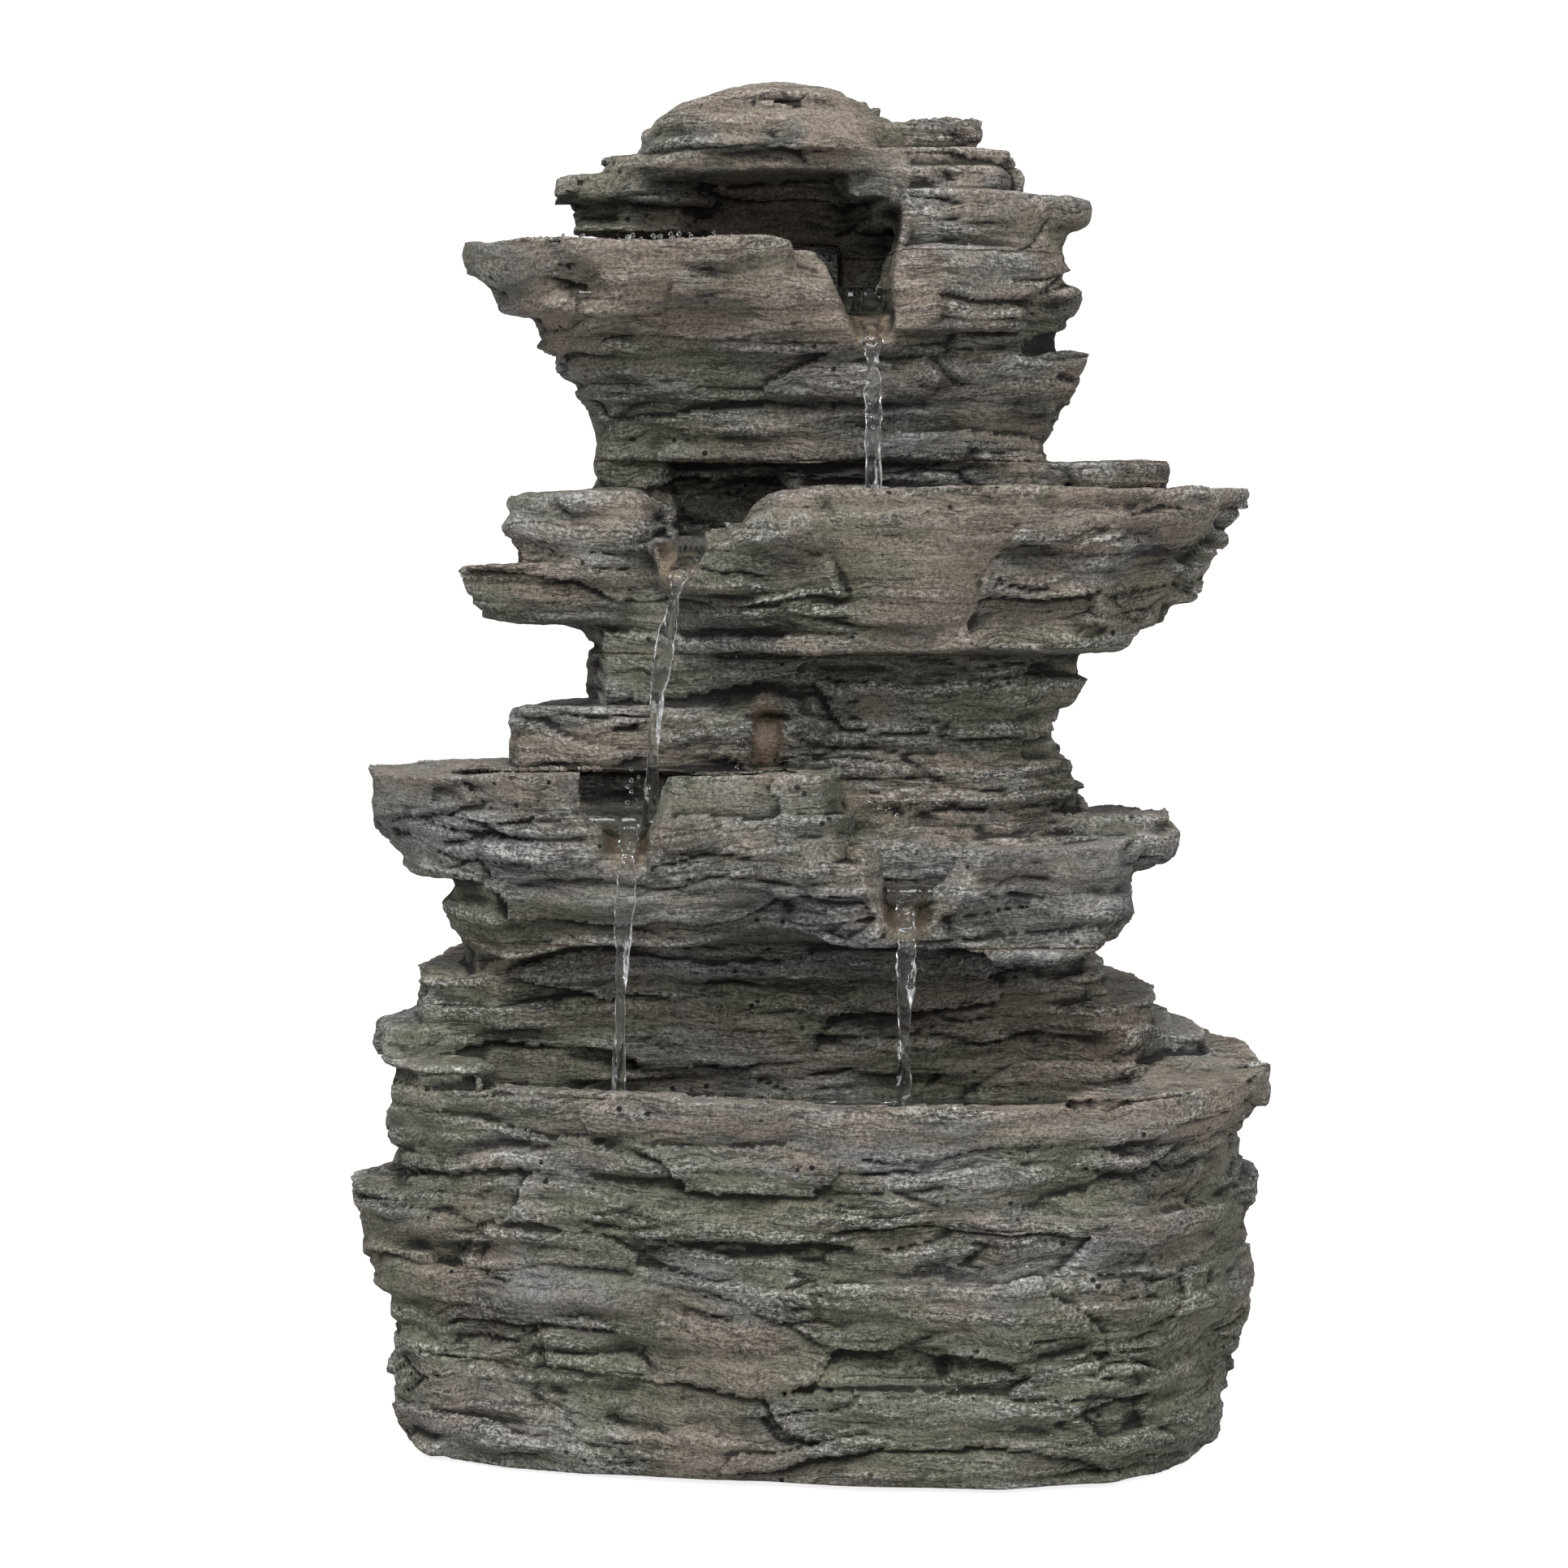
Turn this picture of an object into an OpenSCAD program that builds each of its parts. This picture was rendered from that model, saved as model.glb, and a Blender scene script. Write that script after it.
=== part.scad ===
// Tabletop cascade fountain: cast-resin rock ledges stacked on a basin, with a
// submersible pump that lifts the water to a spring under the cap rock.
// Millimetres. X is to the right, Y to the back, Z up. The origin is under the
// middle of the fountain, on the surface that it stands on.

/* [Overall size] */
// Overall width, over the basin's rock shoulders
body_w = 272; // [226:1:330]
// Overall depth, front of the basin to its back
body_d = 200; // [180:1:240]
// Overall height, foot pads to cap rock
body_h = 396; // [356:1:476]

/* [Castings] */
// Thickness of the basin's floor
floor_t = 7; // [5:0.5:9]
// Width of the shaft that runs up through the tiers
shaft_w = 76; // [64:1:84]
// Depth of that shaft
shaft_d = 52; // [44:1:58]
// Width of the opening that lets the pool's water through to the pump
passage_w = 76; // [44:1:90]
// Height of that opening
passage_h = 40; // [20:1:60]
// Gap at which a removable piece sits in its casting
fit_gap = 0.4; // [0.2:0.05:0.6]

/* [Foot pads] */
// Diameter of a foot pad
pad_d = 18; // [12:1:22]
// Thickness of a foot pad
pad_t = 3; // [2:0.5:3.5]
// How far a foot pad stands out of the basin's underside
pad_stand = 1; // [0.5:0.1:1.5]

/* [Access door] */
// Width of the door in the back
door_w = 60; // [50:1:68]
// Height of the door
door_h = 40; // [36:1:41]
// Thickness of the door's plate
door_t = 7; // [5:0.5:9]
// Width of the ledge that the door rests against, above and below
door_rebate = 3.5; // [3:0.5:4]
// Diameter of a holding magnet
magnet_d = 6; // [4:0.5:7]
// Thickness of a holding magnet
magnet_t = 2; // [1.5:0.1:2.5]

/* [Pump] */
// Width of the pump
pump_w = 36; // [32:1:42]
// Height of the pump's housing
pump_h = 30; // [27:1:34]
// Length of the motor housing
motor_l = 26; // [22:1:32]
// Length of the impeller chamber, its cover and outlet
volute_l = 11; // [10:0.5:13]
// Length of the strainer cover
strainer_l = 10; // [8:0.5:12]
// Diameter of the impeller's magnet
rotor_d = 11; // [9:0.5:12]
// Diameter of the ceramic shaft
pin_d = 2; // [1.6:0.1:2.4]
// Running clearance of the impeller on its shaft, on the radius
run_gap = 0.05; // [0.03:0.01:0.08]
// Wall of the pump's mouldings
pump_wall = 1.6; // [1.2:0.1:2]
// Diameter of a suction cup
cup_d = 11; // [9:0.5:13]
// Height of a suction cup under the pump
cup_h = 5; // [4:0.5:6]

/* [Water tube] */
// Inner diameter of the riser tube
tube_bore = 8; // [6:0.5:10]
// Wall of the riser tube
tube_wall = 1.5; // [1:0.1:2]

/* [Power inlet] */
// Diameter of the low-voltage inlet's threaded barrel
inlet_d = 11; // [9:0.5:12]
// Diameter of the pump's lead
lead_d = 3.6; // [3:0.2:4.4]

/* [Hidden] */
$fn = 48;
eps = 0.01;

// Rock outlines are drawn for a fountain of this size and fitted to the one asked for.
drawn_w = 272;
drawn_d = 200;
drawn_h = 396;
kx = body_w / drawn_w;
ky = body_d / drawn_d;
kz = body_h / drawn_h;
function fit(outline) = [for (p = outline) [p.x * kx, p.y * ky]];

// Heights of the joints between the castings, and of the water's ways.
basin_top = 148 * kz;
lower_top = 231 * kz;
middle_top = 287 * kz;
upper_top = 347 * kz;
pool_floor = pad_stand + floor_t;

// The shaft is centred here, behind the middle of the tower.
shaft_x = 4 * kx;
shaft_y = 44 * ky;
shaft_front = shaft_y - shaft_d / 2;
shaft_back = shaft_y + shaft_d / 2;
taper_about = [0, 30 * ky];

rock_grey = [0.40, 0.37, 0.33];
rock_brown = [0.45, 0.39, 0.33];
rubber_black = [0.08, 0.08, 0.08];
pump_black = [0.13, 0.13, 0.14];

// One layer of rock. The outline is its upper edge, and foot is the lower edge's
// share of it: under 1 the face cuts back, over 1 it spreads.
module ledge(z_low, z_high, foot, outline) {
    translate([taper_about.x, taper_about.y, z_low])
        linear_extrude(height = z_high - z_low, scale = 1 / foot)
            scale(foot)
                translate(-taper_about)
                    polygon(fit(outline));
}

// A stack of ledges: each entry is [lower height, upper height, foot, outline].
module ledges(stack) {
    for (l = stack)
        ledge(l[0] * kz, l[1] * kz, l[2], l[3]);
}

// A hollow with upright walls, open upward.
module hollow(z_low, z_high, outline) {
    translate([0, 0, z_low])
        linear_extrude(height = z_high - z_low)
            polygon(fit(outline));
}

// A cut that carries water through a rim, from its inner end at y_back to the
// open front at y_front. It is a V in elevation and flares towards the front.
module spout_cut(x, y_front, y_back, z_lip, drop, z_top, lip_w, mouth_w, flare) {
    hull() {
        translate([x, y_back, 0])
            spout_section(z_lip + drop, z_top, lip_w, mouth_w);
        translate([x, y_front, 0])
            spout_section(z_lip, z_top, lip_w + flare / 2, mouth_w + flare);
    }
}

module spout_section(z_lip, z_top, lip_w, mouth_w) {
    rotate([90, 0, 0])
        linear_extrude(height = eps)
            polygon([
                [-lip_w / 2, z_lip], [lip_w / 2, z_lip],
                [mouth_w / 2, z_top], [-mouth_w / 2, z_top]
            ]);
}

module shaft_hollow(z_low, z_high) {
    translate([shaft_x - shaft_w / 2, shaft_front, z_low])
        cube([shaft_w, shaft_d, z_high - z_low]);
}

// ---------------------------------------------------------------- basin

basin_stack = [
    [1, 14, 0.98, [
        [-121, 4], [-119, -30], [-110, -50], [-86, -67], [-44, -83], [8, -94], [57, -99],
        [90, -91], [111, -62], [125, -20], [126, 42], [113, 90], [50, 96], [-50, 97],
        [-110, 90], [-119, 50]]],
    [13, 34, 0.985, [
        [-123, 6], [-121, -30], [-110, -49], [-80, -66], [-40, -81], [6, -93], [56, -99],
        [90, -90], [111, -62], [127, -20], [129, 40], [115, 93], [48, 99], [-52, 99],
        [-112, 93], [-121, 48]]],
    [33, 47, 0.975, [
        [-122, 0], [-119, -34], [-104, -52], [-74, -69], [-30, -83], [14, -93], [60, -98],
        [92, -88], [115, -60], [130, -16], [131, 44], [114, 92], [44, 98], [-56, 98],
        [-114, 90], [-123, 44]]],
    [46, 60, 0.985, [
        [-131, -4], [-128, -30], [-113, -49], [-84, -66], [-42, -81], [10, -94], [58, -100],
        [94, -91], [117, -62], [132, -20], [132, 38], [116, 94], [40, 100], [-60, 100],
        [-116, 92], [-126, 44]]],
    [59, 77, 0.97, [
        [-125, 6], [-122, -34], [-108, -52], [-80, -68], [-36, -84], [16, -95], [60, -99],
        [96, -89], [119, -60], [134, -14], [133, 42], [117, 92], [42, 98], [-58, 98],
        [-114, 91], [-124, 48]]],
    [76, 91, 0.985, [
        [-124, 2], [-119, -36], [-104, -52], [-76, -67], [-34, -82], [12, -92], [58, -97],
        [90, -88], [112, -62], [128, -20], [130, 40], [114, 91], [46, 97], [-54, 97],
        [-112, 90], [-122, 46]]],
    [90, 107, 0.975, [
        [-125, 4], [-121, -36], [-106, -53], [-78, -67], [-36, -82], [12, -94], [58, -99],
        [96, -89], [120, -60], [135, -20], [135, 30], [121, 74], [104, 93], [44, 97],
        [-56, 97], [-112, 90], [-124, 46]]]
];

// Blocks that stand out of the basin's sides and its rim.
basin_blocks = [
    [60, 75, 0.95, [
        [-136, -6], [-134, -28], [-120, -44], [-100, -46], [-92, -20], [-96, 20], [-116, 24],
        [-130, 12]]],
    [106, 114, 0.97, [
        [-127, 4], [-125, -30], [-112, -49], [-93, -58], [-87, -48], [-92, -20], [-92, 60],
        [-118, 66], [-124, 40]]],
    [106, 109, 0.99, [[-90, -62], [-46, -78], [-36, -81], [-34, -74], [-86, -52]]],
    [106, 110, 0.99, [[72, -93], [97, -88], [120, -59], [134, -22], [102, -10], [97, -48], [78, -77]]],
    [106, 112, 0.98, [
        [97, -6], [112, -22], [136, -16], [136, 24], [124, 60], [106, 82], [96, 60]]],
    [111, 118, 0.96, [
        [90, -4], [104, -14], [120, -8], [120, 22], [112, 56], [100, 78], [90, 60]]]
];

// The rock that rises behind the pool and carries the tiers.
rise_stack = [
    [106, 121, 0.97, [
        [-127, 6], [-124, -14], [-104, -24], [-84, -22], [-60, -26], [-18, -23], [26, -25],
        [66, -24], [96, -26], [107, -12], [112, 40], [96, 90], [40, 96], [-46, 96],
        [-98, 90], [-120, 56]]],
    [120, 130, 0.96, [
        [-118, 8], [-114, -18], [-92, -28], [-70, -24], [-30, -27], [14, -24], [50, -28],
        [86, -32], [105, -20], [107, 20], [96, 82], [42, 95], [-44, 95], [-96, 88],
        [-114, 46]]],
    [129, 138, 0.97, [
        [-117, 8], [-113, -16], [-92, -26], [-70, -25], [-30, -26], [14, -27], [50, -29],
        [78, -28], [90, -18], [92, 24], [88, 80], [42, 95], [-44, 95], [-94, 86],
        [-112, 44]]],
    [137, 148, 0.97, [
        [-104, 4], [-100, -22], [-84, -30], [-46, -29], [-8, -33], [36, -30], [68, -31],
        [82, -18], [86, 16], [84, 78], [44, 95], [-44, 95], [-88, 86], [-101, 44]]]
];

front_pool = [
    [-88, -44], [-70, -56], [-34, -70], [10, -82], [54, -87], [78, -77], [94, -50],
    [99, -22], [40, -20], [-40, -20], [-90, -20]
];
pump_chamber = [[-96, -10], [94, -10], [100, 30], [88, 78], [-90, 78], [-102, 40]];

chamber_front = -10 * ky;
chamber_back = 78 * ky;
bulkhead_t = 10 * ky;

door_z = basin_top - 5 - door_h;
door_side = magnet_d + 3;            // width of the ledge beside the door, which holds a magnet
door_seat = 95 * ky - door_t;        // plane of the ledge that the door rests on

module basin() {
    color(rock_grey)
        difference() {
            union() {
                ledges(basin_stack);
                ledges(basin_blocks);
                ledges(rise_stack);
            }
            hollow(pool_floor, 107 * kz, front_pool);
            hollow(pool_floor, 122 * kz, pump_chamber);
            translate([shaft_x - shaft_w / 2, chamber_front, 100 * kz])
                cube([shaft_w, chamber_back - chamber_front, 60 * kz]);
            water_passage();
            door_pocket();
            door_opening();
            pad_seats();
            inlet_hole();
            frame_magnet_seats();
        }
}

// Lets the water through from the pool to the pump.
module water_passage() {
    translate([shaft_x - passage_w / 2, chamber_front - bulkhead_t - 2, pool_floor])
        cube([passage_w, bulkhead_t + 4, passage_h]);
}

module door_pocket() {
    translate([shaft_x - door_w / 2, door_seat, door_z])
        cube([door_w, 20 * ky, door_h]);
}

module door_opening() {
    translate([shaft_x - door_w / 2 + door_side, chamber_back - 2, door_z + door_rebate])
        cube([door_w - 2 * door_side, 40 * ky, door_h - 2 * door_rebate]);
}

// ---------------------------------------------------------------- foot pads

pad_places = [[-86, -30], [78, -58], [90, 66], [-88, 68]];

module each_pad() {
    for (p = fit(pad_places))
        translate([p.x, p.y, 0])
            children();
}

module pad_seats() {
    each_pad()
        translate([0, 0, -eps])
            cylinder(d = pad_d + fit_gap, h = pad_t + eps);
}

module foot_pads() {
    color(rubber_black)
        each_pad()
            cylinder(d = pad_d, h = pad_t);
}

// ---------------------------------------------------------------- lower tier

lower_stack = [
    [148, 158, 0.97, [
        [-105, 6], [-104, -26], [-88, -46], [-50, -53], [-10, -55], [20, -58], [60, -58],
        [84, -52], [95, -30], [96, 20], [88, 74], [44, 93], [-44, 93], [-88, 82], [-102, 44]]],
    [157, 173, 0.985, [
        [-107, 4], [-107, -28], [-92, -50], [-54, -56], [-12, -58], [10, -59], [30, -60],
        [70, -58], [88, -50], [96, -28], [96, 22], [88, 74], [42, 92], [-42, 92], [-90, 80],
        [-104, 42]]]
];

left_tray_stack = [
    [168, 186, 0.965, [
        [-124, 0], [-122, -24], [-104, -48], [-78, -60], [-40, -61], [-10, -61], [8, -58],
        [14, -44], [12, 20], [-30, 50], [-96, 44], [-118, 20]]],
    [185, 198, 0.985, [
        [-127, -2], [-125, -26], [-108, -46], [-82, -59], [-44, -62], [-16, -61], [4, -57],
        [10, -42], [8, 20], [-30, 50], [-94, 46], [-122, 16]]]
];

right_tray_stack = [
    [160, 177, 0.975, [
        [6, -40], [16, -58], [40, -62], [72, -60], [91, -50], [97, -30], [98, 10], [86, 50],
        [10, 50]]],
    [167, 183, 0.96, [[68, 4], [84, -18], [102, -22], [110, -10], [108, 22], [96, 52], [64, 50]]],
    [182, 193, 0.97, [[60, 0], [78, -12], [86, -4], [84, 30], [76, 54], [56, 50]]]
];

lower_neck_stack = [
    [172, 200, 0.985, [
        [-84, 0], [-70, -16], [-40, -18], [-18, -14], [-14, -8], [-8, -8], [-2, -20],
        [30, -25], [62, -22], [78, -8], [82, 30], [76, 72], [42, 91], [-42, 91], [-74, 76],
        [-84, 40]]],
    [197, 216, 0.985, [
        [-88, 2], [-84, -18], [-60, -27], [-30, -25], [-17, -22], [-14, -8], [-8, -7], [-4, -18],
        [26, -24], [58, -21], [73, -6], [76, 30], [72, 72], [42, 90], [-42, 90], [-74, 74],
        [-84, 40]]],
    [215, 231, 0.98, [
        [-62, 2], [-58, -16], [-34, -22], [-16, -20], [0, -20], [30, -26], [62, -24],
        [82, -6], [86, 30], [76, 70], [42, 89], [-40, 89], [-58, 60], [-64, 30]]]
];

left_pool = [
    [-104, -14], [-102, -28], [-90, -40], [-74, -49], [-40, -51], [-14, -50], [-2, -44],
    [0, -22], [-20, -20], [-70, -19], [-86, -8]
];
left_pool_mouth = [
    [-104, -14], [-102, -28], [-90, -40], [-74, -49], [-40, -51], [-14, -50], [-2, -44], [0, -30],
    [-18, -29], [-60, -30], [-90, -20]
];
left_pool_floor = 183 * kz;
right_pool = [
    [16, -42], [24, -50], [42, -52], [68, -50], [82, -42], [86, -24], [64, -27], [30, -29],
    [12, -26]
];
right_pool_floor = 163 * kz;

left_spout_x = -50 * kx;
right_spout_x = 29 * kx;

module lower_tier() {
    color(rock_brown)
        difference() {
            union() {
                ledges(lower_stack);
                ledges(left_tray_stack);
                ledges(right_tray_stack);
                ledges(lower_neck_stack);
            }
            hollow(left_pool_floor, 197 * kz, left_pool);
            hollow(left_pool_floor, 201 * kz, left_pool_mouth);
            hollow(right_pool_floor, 179 * kz, right_pool);
            spout_cut(left_spout_x, -66 * ky, -48 * ky, 172 * kz, 11 * kz, 201 * kz, 8, 16, 8);
            spout_cut(right_spout_x, -66 * ky, -49 * ky, 148.5 * kz, 14 * kz, 179 * kz, 8, 19, 10);
            shaft_hollow(140 * kz, 240 * kz);
        }
}

// ---------------------------------------------------------------- middle tier

middle_stack = [
    [231, 240, 0.97, [
        [-64, 4], [-62, -14], [-40, -22], [-20, -30], [0, -48], [40, -54], [76, -50],
        [97, -32], [100, 10], [80, 60], [40, 88], [-40, 88], [-60, 60], [-66, 30]]],
    [239, 248, 0.97, [
        [-66, 4], [-60, -20], [-36, -26], [-22, -42], [-4, -55], [40, -59], [84, -54],
        [106, -34], [108, 4], [84, 60], [40, 88], [-40, 88], [-70, 58], [-74, 30]]],
    [247, 263, 0.965, [
        [-44, -8], [-43, -34], [-37, -50], [-20, -58], [40, -62], [86, -57], [110, -38],
        [121, -14], [112, 14], [84, 60], [40, 87], [-40, 87], [-60, 50], [-60, 10]]],
    [262, 271, 0.98, [
        [-44, -4], [-35, -14], [-32, -36], [-29, -50], [-14, -59], [40, -62], [90, -58],
        [113, -40], [128, -12], [124, 8], [96, 30], [84, 60], [40, 86], [-40, 86], [-60, 50],
        [-60, 8]]],
    [270, 278, 0.975, [
        [-44, -4], [-26, -14], [-24, -34], [-21, -48], [-8, -58], [40, -61], [90, -57],
        [114, -40], [130, -10], [125, 8], [96, 30], [84, 60], [40, 86], [-40, 86], [-60, 50],
        [-60, 8]]],
    [277, 287, 0.985, [
        [-62, 4], [-58, -10], [-42, -12], [-40, 5], [-6, 5], [-4, -12], [30, -14], [62, -15],
        [90, -12], [108, 2], [100, 34], [72, 70], [38, 86], [-38, 86], [-58, 56], [-62, 30]]]
];

left_wing_stack = [
    [240, 257, 0.9, [
        [-103, -6], [-100, -22], [-82, -30], [-58, -28], [-44, -14], [-42, 30], [-72, 54],
        [-94, 30]]],
    [256, 278, 0.965, [
        [-86, 0], [-84, -18], [-66, -26], [-48, -22], [-42, -6], [-40, 40], [-66, 56],
        [-82, 32]]]
];

middle_pool = [
    [-18, -44], [-8, -50], [40, -53], [84, -49], [102, -34], [106, -20], [60, -18], [30, -17],
    [-6, -15], [-8, 3], [-38, 3], [-38, -14], [-20, -24]
];
middle_pool_floor = 262 * kz;

module middle_tier() {
    color(rock_grey)
        difference() {
            union() {
                ledges(middle_stack);
                ledges(left_wing_stack);
            }
            hollow(middle_pool_floor, 279 * kz, middle_pool);
            middle_chute();
            shaft_hollow(220 * kz, 300 * kz);
        }
}

// The middle tray empties round its left end, down a chute beside the wing.
module middle_chute() {
    hull() {
        translate([-38 * kx, -14 * ky, 261 * kz])
            cube([18 * kx, eps, 20 * kz]);
        translate([-43 * kx, -58 * ky, 254 * kz])
            cube([10 * kx, 20 * ky, 30 * kz]);
    }
}

// ---------------------------------------------------------------- upper tier

upper_stack = [
    [287, 296, 0.985, [
        [-61, 2], [-58, -14], [-40, -20], [-14, -18], [20, -22], [52, -20], [70, -8],
        [72, 30], [64, 66], [38, 80], [-36, 80], [-54, 56], [-60, 26]]],
    [295, 306, 0.96, [
        [-62, 2], [-60, -18], [-42, -26], [-12, -24], [20, -25], [54, -22], [74, -10],
        [75, 28], [64, 66], [38, 80], [-36, 80], [-54, 56], [-61, 26]]],
    [305, 319, 0.94, [
        [-71, -2], [-66, -24], [-44, -34], [-10, -34], [14, -38], [30, -32], [66, -26],
        [86, -10], [84, 24], [66, 64], [38, 79], [-36, 79], [-56, 52], [-68, 24]]],
    [318, 329, 0.93, [
        [-82, -4], [-76, -26], [-60, -44], [-20, -47], [10, -47], [27, -45], [36, -34], [68, -28],
        [80, -10], [78, 26], [62, 62], [36, 78], [-36, 78], [-56, 50], [-76, 20]]]
];

upper_tray_stack = [
    [328, 338, 0.93, [
        [-97, -4], [-92, -24], [-68, -53], [-34, -55], [0, -54], [11, -48], [13, -30], [10, 20],
        [-50, 40], [-84, 18]]],
    [337, 350, 0.985, [
        [-100, -6], [-96, -22], [-67, -55], [-34, -56], [-6, -55], [9, -46], [12, -28],
        [10, 14], [-44, 30], [-84, 12]]]
];

upper_block_stack = [
    [324, 337, 0.97, [
        [26, -48], [40, -46], [66, -34], [82, -14], [80, 20], [64, 58], [36, 77], [-30, 77],
        [-30, 20], [24, 10]]],
    [336, 347, 0.98, [
        [25, -47], [42, -45], [60, -36], [77, -18], [76, 18], [62, 56], [36, 76], [-36, 76],
        [-54, 44], [-54, 16], [24, 10]]]
];

upper_pool = [
    [-84, -8], [-80, -20], [-62, -45], [-34, -46], [-6, -45], [2, -38], [5, -20],
    [14, -14], [23, -8], [23, 6], [-46, 10], [-66, 4]
];
upper_pool_floor = 332 * kz;

// The water wells up under the surface of the upper tray, through its back wall.
outlet_z = 340 * kz;
nozzle_d = 9;

module upper_tier() {
    color(rock_brown)
        difference() {
            union() {
                ledges(upper_stack);
                ledges(upper_tray_stack);
                ledges(upper_block_stack);
            }
            hollow(upper_pool_floor, 352 * kz, upper_pool);
            translate([-70 * kx, cave_back - 0.5, upper_top])
                cube([100 * kx, 40 * ky, 6 * kz]);
            upper_chute();
            translate([shaft_x, shaft_front + 1, outlet_z])
                rotate([90, 0, 0])
                    cylinder(d = nozzle_d + 2 * fit_gap, h = shaft_front + 1 - 4 * ky);
            translate([shaft_x - shaft_w / 2 + 6, shaft_front, 280 * kz])
                cube([shaft_w - 12, shaft_d - 4, 80 * kz]);
        }
}

// A slope between the tray's end and the right-hand block, down to the lip.
module upper_chute() {
    hull() {
        translate([12 * kx, -12 * ky, 334 * kz])
            cube([13 * kx, eps, 20 * kz]);
        translate([15 * kx, -52 * ky, 317 * kz])
            cube([8.5 * kx, eps, 36 * kz]);
    }
}

// ---------------------------------------------------------------- cap rock

cap_stack = [
    [347, 356, 0.985, [
        [-60, 18], [-56, 11], [25, 11], [27, -38], [46, -38], [66, -28], [76, -14], [76, 14],
        [60, 52], [34, 72], [-34, 72], [-52, 46]]],
    [355, 364, 0.98, [
        [-71, 8], [-70, -8], [-52, -14], [-36, -8], [-30, 10], [14, 12], [20, -10], [28, -40],
        [50, -38], [83, -22], [85, -4], [66, 20], [58, 50], [34, 70], [-34, 70], [-58, 40]]],
    [363, 371, 0.975, [
        [-74, 4], [-70, -14], [-48, -20], [-32, -16], [-24, 8], [10, 8], [14, -26], [34, -34],
        [58, -28], [63, -8], [58, 30], [52, 50], [32, 66], [-32, 66], [-58, 36]]],
    [370, 377, 0.97, [
        [-62, 4], [-56, -18], [-34, -31], [-6, -36], [18, -33], [38, -30], [58, -22], [60, 0],
        [54, 34], [32, 60], [-30, 60], [-50, 34]]],
    [376, 385, 0.98, [
        [-30, 0], [-20, -20], [20, -26], [38, -20], [49, -12], [48, 10], [34, 40], [10, 48],
        [-20, 40]]],
    [376, 387, 1.1, [
        [-45, 2], [-41, -16], [-26, -30], [0, -34], [17, -28], [24, -14], [24, 14], [12, 38],
        [-22, 44], [-39, 24]]],
    [386, 392, 1.16, [
        [-38, 0], [-33, -15], [-18, -24], [2, -26], [14, -20], [18, -8], [16, 12], [4, 26],
        [-20, 30], [-33, 16]]],
    [391, 396, 1.45, [
        [-24, -2], [-19, -10], [-6, -15], [4, -13], [10, -5], [9, 7], [0, 15], [-16, 17]]]
];

cave_back = 11 * ky;

module cap_rock() {
    color(rock_grey)
        difference() {
            ledges(cap_stack);
            translate([shaft_x - shaft_w / 2 + 12, shaft_front, upper_top - eps])
                cube([shaft_w - 24, 34 * ky, 20]);
        }
}

// ---------------------------------------------------------------- access door

grip_w = 20;
grip_h = 7;
grip_deep = 3.5;
door_outer = door_seat + door_t;

module access_door() {
    color(rock_brown)
        difference() {
            translate([
                shaft_x - door_w / 2 + fit_gap, door_seat + fit_gap / 2, door_z + fit_gap
            ])
                cube([door_w - 2 * fit_gap, door_t, door_h - 2 * fit_gap]);
            translate([shaft_x - grip_w / 2, door_outer - grip_deep, door_z + fit_gap - eps])
                cube([grip_w, 2 * grip_deep, grip_h]);
            each_magnet()
                translate([0, 0, fit_gap / 2])
                    magnet_seat();
        }
}

magnet_x = door_w / 2 - door_side / 2;

// The magnets sit in pairs, one in the door and one in a lug of the basin.
module each_magnet() {
    for (side = [-1, 1])
        translate([shaft_x + side * magnet_x, door_seat, door_z + door_h / 2])
            rotate([-90, 0, 0])
                children();
}

module magnet_seat() {
    translate([0, 0, -eps])
        cylinder(d = magnet_d, h = magnet_t + eps);
}

module frame_magnet_seats() {
    each_magnet()
        translate([0, 0, -magnet_t])
            cylinder(d = magnet_d, h = magnet_t + 1);
}

module door_magnets() {
    color("silver")
        each_magnet()
            translate([0, 0, fit_gap / 2])
                cylinder(d = magnet_d, h = magnet_t);
}

module frame_magnets() {
    color("silver")
        each_magnet()
            translate([0, 0, -magnet_t])
                cylinder(d = magnet_d, h = magnet_t);
}

// ---------------------------------------------------------------- water tube

tube_od = tube_bore + 2 * tube_wall;
pump_z = pool_floor + cup_h;
pump_top = pump_z + pump_h;
axis_z = pump_z + 10;
volute_front = shaft_front + 4;
motor_front = volute_front + volute_l;
motor_back = motor_front + motor_l;
strainer_front = volute_front - strainer_l;
back_plate_t = 2;

barb_d = tube_bore - 0.1;
barb_l = 10;
barb_bore = tube_bore - 3;
tube_x = shaft_x;
tube_y = shaft_front + 4 + volute_l / 2;
tube_low = pump_top + 2;
tube_high = outlet_z - nozzle_d / 2 - 4;
// The collar under the tube stands clear of the pump's other mouldings if it is wider
// than the chamber that it stands on.
collar_lift = max(0, min(fit_gap, tube_od - volute_l));

module pipe(d, bore, h) {
    difference() {
        cylinder(d = d, h = h);
        translate([0, 0, -eps])
            cylinder(d = bore, h = h + 2 * eps);
    }
}

module riser_tube() {
    color([0.85, 0.9, 0.9, 0.5])
        translate([tube_x, tube_y, tube_low])
            pipe(tube_od, tube_bore, tube_high - tube_low);
}

// A spring clip with two finger tabs, round each end of the tube.
clip_t = 1;
clip_w = 5;
clip_gap = 0.05;

module tube_clip() {
    pipe(tube_od + 2 * clip_gap + 2 * clip_t, tube_od + 2 * clip_gap, clip_w);
    for (side = [-1, 1])
        translate([side * 2.4 - clip_t / 2, tube_od / 2 + clip_gap + clip_t / 2, 0])
            cube([clip_t, 4.5, clip_w]);
}

module tube_clips() {
    color("silver")
        for (z = [tube_low + 2, tube_high - clip_w - 2])
            translate([tube_x, tube_y, z])
                tube_clip();
}

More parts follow.
